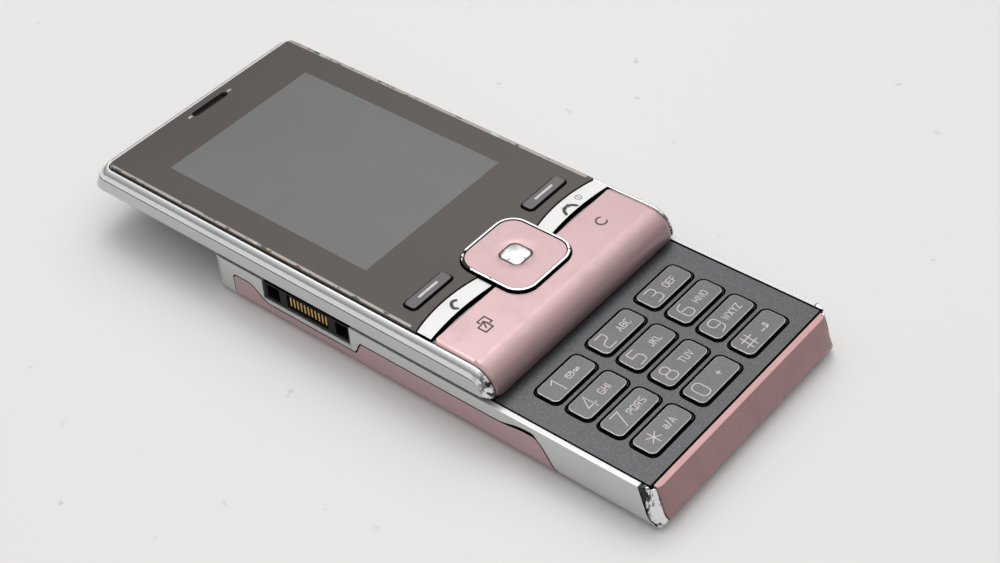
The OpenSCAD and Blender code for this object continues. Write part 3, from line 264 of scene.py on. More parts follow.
def keypad_looks():
    looks = {}
    plate = Look("speckled grey lacquer", (0.078, 0.080, 0.085), 0.42, 0.3, 0.1, 0.3)
    plate.tint(plate.ramp(plate.noise(5200, 1), 0.56, 0.70, 0, 0.6), (0.19, 0.195, 0.205))
    plate.tint(plate.ramp(plate.noise(4300, 1), 0.42, 0.30, 0, 0.6), (0.03, 0.031, 0.034))
    plate.tint(plate.ramp(plate.noise(70, 3), 0.4, 0.7, 0, 0.2), (0.11, 0.11, 0.115))
    plate.bump(plate.noise(3600, 2), 0.012, 0.6)
    looks["plate"] = plate

    caps = Look("key lacquer", (0.112, 0.112, 0.120), 0.32, 0.15, 0.3, 0.2)
    caps.tint(caps.ramp(caps.noise(5000, 1), 0.52, 0.68, 0, 0.4), (0.24, 0.24, 0.255))
    caps.tint(caps.ramp(caps.noise(3800, 1), 0.42, 0.30, 0, 0.4), (0.06, 0.06, 0.064))
    caps.roughen(caps.ramp(caps.noise(300, 3), 0.45, 0.65), 0.42)
    caps.bump(caps.noise(2600, 2), 0.006, 0.5)
    looks["key"] = caps

    # A pale painted highlight for the keys' turned edges; it also gives the scuffs at the earpiece slot's
    # ends
    edge = Look("bright key edge highlight and earpiece scuff", (0.46, 0.46, 0.48), 0.22, 0.4, 0.4)
    edge.tint(edge.ramp(edge.noise(700, 4), 0.5, 0.7, 0, 0.7), (0.22, 0.22, 0.23))
    edge.bump(edge.noise(2600, 2), 0.006, 0.5)
    looks["key edge highlight and earpiece scuff"] = edge

    white = Look("white gloss plastic", (0.80, 0.80, 0.78), 0.22, 0.1, 0.4, 0.1)
    white.tint(white.ramp(white.noise(240, 4), 0.5, 0.72, 0, 0.5), (0.66, 0.66, 0.65))
    white.bump(white.noise(700, 3), 0.008, 0.4)
    looks["white"] = white

    select = Look("brushed chrome key", (0.80, 0.80, 0.80), 0.16, 0.85, 0.2)
    select.tint(select.ramp(select.noise(600, 4), 0.6, 0.75, 0, 0.6), (0.55, 0.54, 0.53))
    select.roughen(select.ramp(select.noise(900, 3), 0.4, 0.7), 0.34)
    select.bump(select.noise(900, 2), 0.006, 0.4)
    looks["select"] = select

    soft = Look("smoked key", (0.055, 0.05, 0.053), 0.14, 0.1, 0.7, 0.05)
    soft.tint(soft.ramp(soft.noise(300, 3), 0.45, 0.75, 0, 0.6), (0.10, 0.09, 0.095))
    soft.bump(soft.noise(900, 3), 0.006, 0.4)
    looks["soft"] = soft

    lit = Look("light guide", (0.62, 0.55, 0.58), 0.35, 0.1, 0.2)
    lit.tint(lit.ramp(lit.noise(900, 3), 0.5, 0.75, 0, 0.6), (0.42, 0.38, 0.40))
    lit.bump(lit.noise(900, 3), 0.006, 0.4)
    looks["light guide"] = lit
    return looks


def glass_looks():
    looks = {}
    border = Look("dark glass", (0.056, 0.044, 0.036), 0.08)
    border.tint(border.ramp(border.noise(45, 3), 0.35, 0.75, 0, 0.5), (0.068, 0.055, 0.046))
    border.roughen(border.ramp(border.noise(120, 4), 0.45, 0.7), 0.13)
    border.bump(border.noise(60, 2), 0.01, 0.25)
    looks["border"] = border

    bevel = Look("worn glass edge", (0.38, 0.33, 0.29), 0.16, 0.2, 0.5)
    bevel.tint(bevel.ramp(bevel.noise(900, 5, 0.7, (1, 0.35, 1)), 0.57, 0.62), (0.03, 0.027, 0.025))
    bevel.tint(bevel.ramp(bevel.noise(500, 4, 0.6, (1, 0.3, 1)), 0.60, 0.66), (0.62, 0.58, 0.54))
    bevel.roughen(bevel.ramp(bevel.noise(600, 4), 0.45, 0.65), 0.4)
    bevel.bump(bevel.noise(1400, 4), 0.03, 0.7)
    looks["edge"] = bevel

    pane = Look("clear glass pane", (0.165, 0.170, 0.163), 0.08, alpha=0.85)
    pane.tint(pane.ramp(pane.noise(42, 4, 0.6), 0.42, 0.72, 0, 0.5), (0.190, 0.195, 0.189))
    pane.roughen(pane.ramp(pane.noise(120, 4), 0.45, 0.7), 0.11)
    pane.bump(pane.noise(60, 2), 0.01, 0.2)
    looks["pane"] = pane

    lcd = Look("unlit display", (0.17, 0.175, 0.165), 0.4)
    lcd.tint(lcd.ramp(lcd.noise(38, 3), 0.4, 0.7, 0, 0.3), (0.20, 0.205, 0.195))
    lcd.bump(lcd.noise(60, 2), 0.01, 0.2)
    looks["lcd"] = lcd
    return looks


# Name: colour and roughness
PLAIN_LOOKS = {"pale plastic": ((0.66, 0.65, 0.60), 0.45), "circuit board": ((0.02, 0.12, 0.06), 0.4),
               "silicone": ((0.50, 0.50, 0.47), 0.6), "amber film": ((0.50, 0.20, 0.04), 0.3)}


def inner_looks():
    looks = {}
    # Also used as painted shade on the keypad plate's cut edges and down the soft keys' sides
    black = Look("black plastic, also painted edge shade", (0.007, 0.007, 0.008), 0.5, specular=0.2)
    black.tint(black.ramp(black.noise(800, 3), 0.5, 0.8, 0, 0.5), (0.022, 0.022, 0.023))
    black.bump(black.noise(2600, 2), 0.01, 0.5)
    looks["black"] = black

    steel = Look("brushed steel", (0.50, 0.51, 0.53), 0.28, 1.0)
    steel.tint(steel.ramp(steel.noise(1500, 3, 0.6, (0.04, 1, 1)), 0.42, 0.62, 0, 0.6), (0.38, 0.39, 0.41))
    steel.roughen(steel.ramp(steel.noise(400, 3), 0.4, 0.7), 0.42)
    steel.bump(steel.noise(1800, 2, 0.5, (0.04, 1, 1)), 0.006, 0.6)
    looks["steel"] = steel

    gold = Look("gold contacts", (0.72, 0.47, 0.16), 0.24, 1.0)
    gold.tint(gold.ramp(gold.noise(1800, 3), 0.55, 0.75, 0, 0.5), (0.45, 0.28, 0.10))
    gold.bump(gold.noise(1500, 2), 0.01, 0.4)
    looks["gold"] = gold

    for name, (color, rough) in PLAIN_LOOKS.items():
        look = Look(name, color, rough)
        look.tint(look.ramp(look.noise(700, 4), 0.5, 0.75, 0, 0.6), shade(color, 0.75))
        look.roughen(look.ramp(look.noise(300, 3), 0.4, 0.7), rough + 0.15)
        look.bump(look.noise(2200, 2), 0.008, 0.5)
        looks[name] = look
    return looks


def print_looks():
    looks = {}
    ink = Look("pale ink", (0.62, 0.56, 0.585), 0.45)
    ink.tint(ink.ramp(ink.noise(1600, 3), 0.56, 0.72, 0, 0.5), (0.52, 0.45, 0.47))
    ink.bump(ink.noise(3000, 2), 0.004, 0.4)
    looks["pale ink"] = ink

    dark = Look("dark ink", (0.045, 0.035, 0.036), 0.5)
    dark.tint(dark.ramp(dark.noise(1800, 3), 0.56, 0.72, 0, 0.6), (0.16, 0.12, 0.12))
    dark.bump(dark.noise(3000, 2), 0.004, 0.4)
    looks["dark ink"] = dark

    # Pure black without sheen: painted shade in seams, gaps and recesses and on undersides
    gap = Look("black gap", (0.002, 0.002, 0.002), 0.9, specular=0.0)
    gap.tint(gap.ramp(gap.noise(1200, 3), 0.55, 0.8, 0, 0.5), (0.008, 0.008, 0.008))
    looks["gap"] = gap
    return looks


LOOKS = {name: look.mat
         for group in (paint_looks, metal_looks, keypad_looks, glass_looks, inner_looks, print_looks)
         for name, look in group().items()}


# ---------- Casing pieces: the CAD solids with their edges softened ----------

def new_object(name, mesh, *looks):
    obj = bpy.data.objects.new(name, mesh)
    bpy.context.scene.collection.objects.link(obj)
    for look in looks:
        mesh.materials.append(LOOKS[look])
    return obj


def clean_copy(node):
    """The node's mesh with its flat areas as single faces, ready for a bevel."""
    bm = bmesh.new()
    bm.from_mesh(NODES[node].data)
    bmesh.ops.remove_doubles(bm, verts=bm.verts, dist=0.002 * MM)
    bmesh.ops.dissolve_limit(bm, angle_limit=math.radians(0.6), verts=bm.verts, edges=bm.edges)
    for face in bm.faces:
        face.material_index = 0
    return bm


def soften(obj, width, segments, angle):
    """Rounds the piece's sharp edges and applies it, so that every viewer gets the same mesh."""
    bevel = obj.modifiers.new("bevel", "BEVEL")
    bevel.width = width * MM
    bevel.segments = segments
    bevel.limit_method = "ANGLE"
    bevel.angle_limit = math.radians(angle)
    bevel.use_clamp_overlap = False
    bevel.miter_outer = "MITER_ARC"
    weighted = obj.modifiers.new("normals", "WEIGHTED_NORMAL")
    weighted.keep_sharp = False
    weighted.weight = 80
    bpy.context.view_layer.update()
    depsgraph = bpy.context.evaluated_depsgraph_get()
    baked = bpy.data.meshes.new_from_object(obj.evaluated_get(depsgraph), preserve_all_data_layers=True,
                                            depsgraph=depsgraph)
    obj.modifiers.clear()
    obj.data = baked


def make_skin(node, bm, looks, width, segments=3, angle=28):
    """Replaces a node by its edited copy, with edges rounded to width in mm."""
    mesh = bpy.data.meshes.new(node + "_skin")
    bm.to_mesh(mesh)
    bm.free()
    obj = new_object(node + "_skin", mesh, *looks)
    for polygon in mesh.polygons:
        polygon.use_smooth = True
    soften(obj, width, segments, angle)
    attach(obj, BODY_OF[node])
    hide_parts(node)
    return obj


def dress(node, looks, width, pick=None):
    """Replaces a node by its softened copy. pick(middle in mm, normal) gives a face's place in looks."""
    looks = [looks] if isinstance(looks, str) else looks
    obj = make_skin(node, clean_copy(node), looks, width)
    if pick:
        for polygon in obj.data.polygons:
            polygon.material_index = pick(polygon.center / MM, polygon.normal)


def paint(node, look):
    """A node that keeps its CAD shape gets a finish only."""
    slots = NODES[node].data.materials
    slots.clear()
    slots.append(LOOKS[look])


KEYS = {"key_1": "1", "key_2": "2", "key_3": "3", "key_4": "4", "key_5": "5", "key_6": "6",
        "key_7": "7", "key_8": "8", "key_9": "9", "key_star": "*", "key_0": "0", "key_hash": "#"}

PAINTED = {
    "steel": ["key_domes", "rail_plate", "slide_plate", "assist_springs", "base_screws", "slider_screws",
              "shield_can", "sim_holder", "memory_slot", "vibration_motor", "microphone"],
    "black": ["camera_module", "loudspeaker", "earpiece", "battery", "chassis", "earpiece_mesh"],
    "pale plastic": ["guide_shoes", "display_frame", "antenna"],
    "circuit board": ["main_board", "slider_board"],
    "silicone": ["keypad_mat", "nav_carrier"],
    "gold": ["connector_pins", "battery_contacts"],
    "amber film": ["slider_flex"],
    "lcd": ["display_module"],
}


# Levels and places on the casing, in mm
NAV = (low("nav_rim") + high("nav_rim")) / 2
RIM_Z = high("base_frame").z
SEAM_Z = min(v.co.z for v in NODES["slider_frame"].data.vertices if v.co.y > 0) / MM
RIM_DEPTH = 0.35        # how far down the bright rim goes
OUTSIDE_X = 23.5        # a face further out is on the phone's side
COVER_EDGE_Z = 3.2      # the base's edges above this run along the cover
BASE_TOP_Y = 38         # the base's upright edges below this run along the cover and the trims
NOSE_Y = -9             # the frame turns down to the nose below this


# Which of its piece's looks a face gets, from its middle in mm and its normal

def rim_faces(middle, normal):
    """The nav key's ring is chrome on top, with painted shade in black down its sides and along its inner
    edge.
    """
    inward = (middle.x - NAV.x) * normal.x + (middle.y - NAV.y) * normal.y < -0.6
    return 0 if normal.z > 0.55 and not inward else 1


def cap_faces(middle, normal):
    """The cap's face gets the darker pink that is painted shade; its front lip is paler."""
    return 1 if normal.z > 0.8 else 0


def strip_faces(middle, normal):
    """A white strip key has painted shade in black down its sides."""
    return 0 if normal.z > 0.8 else 1


def chin_faces(middle, normal):
    """The panel's foot, where it turns under, gets painted shade in black."""
    return 1 if normal.z < -0.25 else 0


def key_faces(middle, normal):
    """A key's face, a painted highlight on its turned edge, and painted shade down its sides."""
    if normal.z > 0.985:
        return 0
    return 1 if normal.z > 0.35 else 2


def soft_key_faces(middle, normal):
    """A soft key is smoked on top, with painted shade in black down its sides."""
    return 0 if normal.z > 0.4 else 1


def plate_faces(middle, normal):
    """The plate's cut edges get painted shade in black."""
    return 0 if normal.z > 0.9 else 1


def rim_and_side(middle, normal):
    """The base frame's bright rim, its satin sides, and painted shade on its edges along the seams with the
    cover and the trims.
    """
    if middle.z > RIM_Z - RIM_DEPTH and normal.z > 0.3:
        return 1
    along_cover = normal.z < -0.4 and middle.z > COVER_EDGE_Z
    upright = abs(normal.y) > 0.4 and middle.y < BASE_TOP_Y
    outside = abs(middle.x) > OUTSIDE_X and abs(normal.x) > 0.2
    return 2 if outside and (along_cover or upright) else 0


def cover_faces(middle, normal):
    """The cover's turned edges get painted shade, which draws the seam round it."""
    return 1 if normal.z > 0.35 or abs(normal.y) > 0.4 else 0


def lower_band(middle, normal):
    """The slider's lower band, with painted shade as a dark line along the seam under the chrome and on its
    underside.
    """
    seam = abs(middle.z - SEAM_Z) < 0.25 and normal.z > 0.3
    return 1 if seam or normal.z < -0.35 else 0


def upper_band(middle, normal):
    """The chrome frame, with painted shade where it meets the lower band and on its underside."""
    seam = middle.z < SEAM_Z + 0.08 and middle.y > NOSE_Y
    return 1 if seam or normal.z < -0.3 else 0


def dress_casing():
    for look, nodes in PAINTED.items():
        for node in nodes:
            paint(node, look)
    dress("base_frame", ["silver", "bright rim", "gap"], 0.1, rim_and_side)
    dress("back_cover", ["cover pink", "gap"], 0.14, cover_faces)
    dress("end_cap", ["cap pink", "lip pink"], 0.1, cap_faces)
    dress("corner_trims", "corner", 0.12)
    dress("slider_back", ["band", "gap"], 0.12, lower_band)
    dress("slider_frame", ["frame", "gap"], 0.1, upper_band)
    dress("chin_panel", ["nose pink", "gap"], 0.16, chin_faces)
    dress("nav_key", "pink", 0.1)
    dress("nav_rim", ["rim chrome", "gap"], 0.1, rim_faces)
    dress("select_key", "select", 0.22)
    dress("keypad_plate", ["plate", "black"], 0.05, plate_faces)
    dress("connector_shell", "black", 0.08)
    dress("camera_ring", "chrome", 0.08)
    for node in ("soft_key_left", "soft_key_right"):
        dress(node, ["soft", "black"], 0.2, soft_key_faces)
    for node in ("call_key", "end_key"):
        dress(node, ["white", "gap"], 0.1, strip_faces)
    for node in ("volume_key", "camera_key"):
        dress(node, "silver", 0.2)
    for node in KEYS:
        dress(node, ["key", "key edge highlight and earpiece scuff", "gap"], 0.16, key_faces)


SCREEN_BORDER_X, SCREEN_BORDER_Y = 1.7, 2.5      # from the display module's sides to its lit area


def dress_window():
    """One slab of glass: dark behind its border, clear over the screen, and worn along its bevel."""
    x0, x1 = low("display_module").x + SCREEN_BORDER_X, high("display_module").x - SCREEN_BORDER_X
    y0, y1 = low("display_module").y + SCREEN_BORDER_Y, high("display_module").y - SCREEN_BORDER_Y
    bm = clean_copy("front_window")
    for place, normal in (((x0, 0, 0), (1, 0, 0)), ((x1, 0, 0), (1, 0, 0)),
                          ((0, y0, 0), (0, 1, 0)), ((0, y1, 0), (0, 1, 0))):
        bmesh.ops.bisect_plane(bm, geom=bm.verts[:] + bm.edges[:] + bm.faces[:],
                               plane_co=Vector(place) * MM, plane_no=normal, dist=1e-7)
    bm.normal_update()
    under = []
    for face in bm.faces:
        c = face.calc_center_median() / MM
        inside = x0 < c.x < x1 and y0 < c.y < y1
        if inside and face.normal.z < -0.9:
            under.append(face)
        elif inside and face.normal.z > 0.9:
            face.material_index = 1
        elif 0.1 < face.normal.z < 0.95:
            face.material_index = 2
    # Nothing hides the display
    bmesh.ops.delete(bm, geom=under, context="FACES_ONLY")
    make_skin("front_window", bm, ("border", "pane", "edge"), 0.04, 2, 20)


# ---------- Printed legends: flat ribbons of ink ----------

def rounded(points, r, closed=False, steps=5):
    """A polyline with its corners rounded to r."""
    points = [Vector(p) for p in points]
    count = len(points)
    out = []
    for i, p in enumerate(points):
        if not closed and i in (0, count - 1):
            out.append(p)
            continue
        a, b = points[i - 1] - p, points[(i + 1) % count] - p
        reach = min(r, a.length * 0.5, b.length * 0.5)
        if reach < 1e-6:
            out.append(p)
            continue
        start, end = p + a.normalized() * reach, p + b.normalized() * reach
        for k in range(steps + 1):
            t = k / steps
            out.append(start * (1 - t) ** 2 + p * 2 * t * (1 - t) + end * t ** 2)
    return out


def box_outline(x0, y0, x1, y1, r):
    return rounded([(x0, y0), (x1, y0), (x1, y1), (x0, y1)], r, True)


def box_stroke(x0, y0, x1, y1, r):
    return box_outline(x0, y0, x1, y1, r), True


def arc_stroke(cx, cy, r, a0, a1, steps=20):
    closed = abs(a1 - a0) >= 360
    angles = [math.radians(a0 + (a1 - a0) * i / steps) for i in range(steps if closed else steps + 1)]
    return [Vector((cx + r * math.cos(a), cy + r * math.sin(a))) for a in angles], closed


def line(*points, r=0.0):
    return rounded(points, r), False


# Each glyph: its width and its strokes, in units of its height
GLYPHS = {
    "0": (0.62, [box_stroke(0, 0, 0.62, 1, 0.3)]),
    "1": (0.34, [line((0.0, 0.80), (0.3, 1.0), (0.3, 0.0))]),
    "2": (0.62, [line((0.0, 0.99), (0.6, 0.99), (0.6, 0.58), (0.0, 0.40), (0.0, 0.01), (0.62, 0.01),
                      r=0.13)]),
    "3": (0.62, [line((0.0, 1.0), (0.6, 1.0), (0.6, 0.53), (0.15, 0.53), r=0.24),
                 line((0.15, 0.53), (0.62, 0.53), (0.62, 0.0), (0.0, 0.0), r=0.24)]),
    "4": (0.66, [line((0.46, 0.0), (0.46, 1.0), (0.0, 0.27), (0.66, 0.27))]),
    "5": (0.62, [line((0.58, 1.0), (0.05, 1.0), (0.02, 0.58)),
                 line((0.02, 0.58), (0.62, 0.60), (0.62, 0.0), (0.0, 0.0), r=0.26)]),
    "6": (0.62, [line((0.5, 1.0), (0.0, 0.9), (0.0, 0.0), (0.62, 0.0), (0.62, 0.56), (0.02, 0.56), r=0.26)]),
    "7": (0.60, [line((0.0, 1.0), (0.6, 1.0), (0.18, 0.0))]),
    "8": (0.64, [box_stroke(0.0, 0.0, 0.64, 0.52, 0.24), box_stroke(0.05, 0.52, 0.59, 1.0, 0.22)]),
    "9": (0.62, [line((0.12, 0.0), (0.62, 0.1), (0.62, 1.0), (0.0, 1.0), (0.0, 0.44), (0.6, 0.44), r=0.26)]),
    "*": (0.80, [line((0.4, 0.92), (0.4, 0.08)), line((0.05, 0.72), (0.75, 0.28)),
                 line((0.05, 0.28), (0.75, 0.72))]),
    "#": (0.90, [line((0.22, 0.02), (0.32, 0.98)), line((0.57, 0.02), (0.67, 0.98)),
                 line((0.0, 0.30), (0.86, 0.30)), line((0.04, 0.70), (0.90, 0.70))]),
    "A": (0.60, [line((0.0, 0.0), (0.3, 1.0), (0.6, 0.0)), line((0.12, 0.34), (0.48, 0.34))]),
    "B": (0.55, [box_stroke(0, 0, 0.55, 0.52, 0.12), box_stroke(0, 0.52, 0.5, 1, 0.12)]),
    "C": (0.55, [line((0.55, 1.0), (0.0, 1.0), (0.0, 0.0), (0.55, 0.0), r=0.28)]),
    "D": (0.56, [box_stroke(0, 0, 0.56, 1, 0.2)]),
    "E": (0.50, [line((0.5, 1.0), (0.0, 1.0), (0.0, 0.0), (0.5, 0.0)), line((0.0, 0.5), (0.42, 0.5))]),
    "F": (0.48, [line((0.5, 1.0), (0.0, 1.0), (0.0, 0.0)), line((0.0, 0.5), (0.42, 0.5))]),
    "G": (0.58, [line((0.55, 1.0), (0.0, 1.0), (0.0, 0.0), (0.57, 0.0), (0.57, 0.48), (0.3, 0.48), r=0.2)]),
    "H": (0.56, [line((0.0, 0.0), (0.0, 1.0)), line((0.56, 0.0), (0.56, 1.0)),
                 line((0.0, 0.5), (0.56, 0.5))]),
    "I": (0.04, [line((0.02, 0.0), (0.02, 1.0))]),
    "J": (0.42, [line((0.4, 1.0), (0.4, 0.0), (0.0, 0.0), (0.0, 0.22), r=0.18)]),
    "K": (0.54, [line((0.0, 0.0), (0.0, 1.0)), line((0.52, 1.0), (0.02, 0.45)),
                 line((0.16, 0.58), (0.54, 0.0))]),
    "L": (0.45, [line((0.0, 1.0), (0.0, 0.0), (0.46, 0.0))]),
    "M": (0.70, [line((0.0, 0.0), (0.0, 1.0), (0.35, 0.3), (0.7, 1.0), (0.7, 0.0))]),
    "N": (0.56, [line((0.0, 0.0), (0.0, 1.0), (0.56, 0.0), (0.56, 1.0))]),
    "O": (0.60, [box_stroke(0, 0, 0.6, 1, 0.26)]),
    "P": (0.52, [line((0.0, 0.0), (0.0, 1.0), (0.52, 1.0), (0.52, 0.44), (0.0, 0.44), r=0.16)]),
    "Q": (0.60, [box_stroke(0, 0, 0.6, 1, 0.26), line((0.36, 0.2), (0.62, -0.08))]),
    "R": (0.55, [line((0.0, 0.0), (0.0, 1.0), (0.52, 1.0), (0.52, 0.46), (0.0, 0.46), r=0.16),
                 line((0.26, 0.46), (0.55, 0.0))]),
    "S": (0.55, [line((0.52, 1.0), (0.0, 1.0), (0.0, 0.52), (0.55, 0.5), (0.55, 0.0), (0.0, 0.0), r=0.2)]),
    "T": (0.56, [line((0.0, 1.0), (0.56, 1.0)), line((0.28, 1.0), (0.28, 0.0))]),
    "U": (0.56, [line((0.0, 1.0), (0.0, 0.0), (0.56, 0.0), (0.56, 1.0), r=0.22)]),
    "V": (0.58, [line((0.0, 1.0), (0.29, 0.0), (0.58, 1.0))]),
    "W": (0.84, [line((0.0, 1.0), (0.21, 0.0), (0.42, 0.85), (0.63, 0.0), (0.84, 1.0))]),
    "X": (0.56, [line((0.0, 0.0), (0.56, 1.0)), line((0.0, 1.0), (0.56, 0.0))]),
    "Y": (0.56, [line((0.0, 1.0), (0.28, 0.5), (0.56, 1.0)), line((0.28, 0.5), (0.28, 0.0))]),
    "Z": (0.54, [line((0.0, 1.0), (0.52, 1.0), (0.0, 0.0), (0.54, 0.0))]),
    "a": (0.48, [line((0.04, 0.68), (0.46, 0.68), (0.46, 0.0), r=0.14), box_stroke(0, 0, 0.46, 0.38, 0.12)]),
    "/": (0.34, [line((0.0, -0.08), (0.34, 1.08))]),
    "+": (0.66, [line((0.33, 0.15), (0.33, 0.85)), line((0.0, 0.5), (0.66, 0.5))]),
    "-": (0.60, [line((0.0, 0.35), (0.0, 0.2), (0.55, 0.2), (0.55, 0.35))]),
    "note": (0.56, [line((0.18, 0.15), (0.18, 0.95), (0.52, 0.95), (0.52, 0.25)),
                    arc_stroke(0.09, 0.15, 0.09, 0, 360, 8), arc_stroke(0.43, 0.25, 0.09, 0, 360, 8)]),
    "mail": (1.05, [box_stroke(0.0, 0.1, 1.05, 0.9, 0.05), line((0.0, 0.86), (0.52, 0.4), (1.05, 0.86))]),
    "reel": (0.95, [arc_stroke(0.22, 0.45, 0.2, 0, 360, 12), arc_stroke(0.75, 0.45, 0.2, 0, 360, 12),
                    line((0.22, 0.25), (0.75, 0.25))]),
    # Handset lifted, handset down, a round C, power ring, and two overlapping squares with an arrow
    "call": (0.8, [line((0.62, 1.0), (0.30, 0.92), (0.18, 0.5), (0.34, 0.06), (0.66, 0.0), r=0.5)]),
    "hang": (1.2, [line((0.0, 0.22), (0.2, 0.62), (0.6, 0.78), (1.0, 0.62), (1.2, 0.22), r=0.4)]),
    "round c": (0.95, [arc_stroke(0.5, 0.5, 0.48, 48, 312, 24)]),
    "power": (0.9, [arc_stroke(0.45, 0.5, 0.42, 0, 360, 24), line((0.45, 0.28), (0.45, 0.72))]),
    "shortcut": (1.0, [line((0.30, 0.64), (0.0, 0.64), (0.0, 0.0), (0.66, 0.0), (0.66, 0.42)),
                       line((0.34, 0.80), (0.34, 1.0), (1.0, 1.0), (1.0, 0.36), (0.82, 0.36)),
                       line((0.32, 0.26), (0.62, 0.76)), line((0.32, 0.66), (0.62, 0.76), (0.70, 0.44))]),
}
THICK = {"call": 2.2, "hang": 2.2}     # filled handsets, as a wider stroke


def ribbon(bm, points, closed, width, z):
    """One stroke as a flat strip with mitred corners; everything in mm."""
    points, width, z = [Vector(p) * MM for p in points], width * MM, z * MM
    count = len(points)
    sides = []
    for i, p in enumerate(points):
        before = (p - points[i - 1]) if closed or i else (points[1] - p)
        after = (points[(i + 1) % count] - p) if closed or i < count - 1 else (p - points[i - 1])
        before, after = before.normalized(), after.normalized()
        tangent = before + after
        tangent = tangent.normalized() if tangent.length > 1e-6 else before
        normal = Vector((-tangent.y, tangent.x))
        across = Vector((-before.y, before.x))
        reach = width / 2 / max(0.45, abs(normal.dot(across)))
        sides.append([bm.verts.new((*(p + normal * reach * s), z)) for s in (1, -1)])
    for i in range(count if closed else count - 1):
        a, b = sides[i], sides[(i + 1) % count]
        bm.faces.new((a[1], b[1], b[0], a[0]))
    if not closed:
        for end, inward in ((sides[0], points[1] - points[0]), (sides[-1], points[-2] - points[-1])):
            middle = (end[0].co + end[1].co) / 2
            beyond = Vector((*inward.normalized(), 0)) * width / 2
            cap = [bm.verts.new(middle - beyond + (v.co - middle) * 0.5) for v in end]
            bm.faces.new((end[0], end[1], cap[1], cap[0]))


def glyph_run(text):
    """Splits a legend into glyphs; a name in braces is one glyph."""
    out, i = [], 0
    while i < len(text):
        if text[i] == "{":
            end = text.index("}", i)
            out.append(text[i + 1:end])
            i = end + 1
        else:
            out.append(text[i])
            i += 1
    return out


def flat_piece(name, body, look, bm):
    """Makes ink or another flat finish a piece of its own, facing up."""
    bmesh.ops.recalc_face_normals(bm, faces=bm.faces)
    for face in bm.faces:
        if face.normal.z < 0:
            face.normal_flip()
    mesh = bpy.data.meshes.new(name)
    bm.to_mesh(mesh)
    bm.free()
    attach(new_object(name, mesh, look), body)


LETTER_SPACE = 0.28      # between glyphs, in units of their height
STROKE_LAYER = 0.003     # mm from one stroke up to the next, so that crossings render cleanly


def legend(name, body, look, places):
    """places lists (text, x, y, z, height, stroke width, turn) in mm; x and y are the middle of the text."""
    bm = bmesh.new()
    for text, x, y, z, height, stroke, turn in places:
        glyphs = glyph_run(text)
        spin = Matrix.Rotation(math.radians(turn), 2)
        cursor = -(sum(GLYPHS[g][0] for g in glyphs) + LETTER_SPACE * (len(glyphs) - 1)) / 2
        for g in glyphs:
            wide, strokes = GLYPHS[g]
            for layer, (points, closed) in enumerate(strokes):
                moved = [spin @ Vector(((cursor + p.x) * height, (p.y - 0.5) * height)) + Vector((x, y))
                         for p in points]
                ribbon(bm, moved, closed, stroke * THICK.get(g, 1), z + STROKE_LAYER * layer)
            cursor += wide + LETTER_SPACE
    flat_piece(name, body, look, bm)


# The small letters on each key
SMALL = {"key_1": "{mail}{reel}", "key_2": "ABC", "key_3": "DEF", "key_4": "GHI",
         "key_5": "JKL", "key_6": "MNO", "key_7": "PQRS", "key_8": "TUV",
         "key_9": "WXYZ", "key_star": "a/A", "key_0": "+", "key_hash": "-{note}"}
# X of the digit and of the letters in each column of keys, from the key's middle
COLUMN_PLACES = ((-2.15, 1.55), (-2.75, 1.75), (-2.55, 1.35))
INK_LIFT = 0.012         # mm above the surface that the ink is on


def print_legends():
    for i, (node, digit) in enumerate(KEYS.items()):
        lo, hi = low(node), high(node)
        x, y, z = (lo.x + hi.x) / 2, (lo.y + hi.y) / 2, hi.z + INK_LIFT
        left, right = COLUMN_PLACES[i % 3]
        legend(node + "_legend", BODY_OF[node], "pale ink",
               [(digit, x + left, y, z, 2.95, 0.19, 0), (SMALL[node], x + right, y - 0.05, z, 1.2, 0.17, 0)])
    z = high("chin_panel").z + INK_LIFT
    legend("chin_legends", "chin", "dark ink",
           [("{shortcut}", -15.05, -6.65, z, 2.5, 0.25, 0), ("{round c}", 14.7, -6.5, z, 1.9, 0.28, 0)])
    z = high("call_key").z + INK_LIFT
    legend("call_legend", "call", "dark ink", [("{call}", -14.45, 0.15, z, 1.9, 0.26, -45)])
    legend("end_legend", "end", "dark ink",
           [("{hang}", 14.2, -0.2, z, 2.3, 0.26, 0), ("{power}", 17.4, 0.2, z, 1.35, 0.13, 0)])


def inlay(name, body, look, outlines, z):
    """Flat shapes printed on or let into a surface; each outline is a closed run of points in mm."""
    bm = bmesh.new()
    for points in outlines:
        bm.faces.new([bm.verts.new(Vector((p[0], p[1], z)) * MM) for p in points])
    flat_piece(name, body, look, bm)


OPENING_R = 1.42         # corners of the line round a key opening
OPENING_LINE = 0.34      # its width
PLATE_LINE = 0.32        # width of the line along the plate's sides and foot
UNDER_SLIDER_Y = -10     # where that line ends, out of sight


def line_openings():
    """A painted shade line in black round each key opening, and one along the plate's sides and foot."""
    z = high("keypad_plate").z + INK_LIFT
    bm = bmesh.new()
    for node in KEYS:
        lo, hi = low(node), high(node)
        # The flange under the plate is 0.25 mm wider than the opening all round
        points = box_outline(lo.x + 0.1, lo.y + 0.08, hi.x - 0.08, hi.y - 0.1, OPENING_R)
        ribbon(bm, points, True, OPENING_LINE, z)
    lo, hi = low("keypad_plate"), high("keypad_plate")
    x0, x1, y0, y1 = lo.x + 0.12, hi.x - 0.12, lo.y + 0.1, UNDER_SLIDER_Y
    ribbon(bm, ((x0, y1), (x0, y0), (x1, y0), (x1, y1)), False, PLATE_LINE, z)
    flat_piece("opening_shade_lines", BODY_OF["keypad_plate"], "gap", bm)


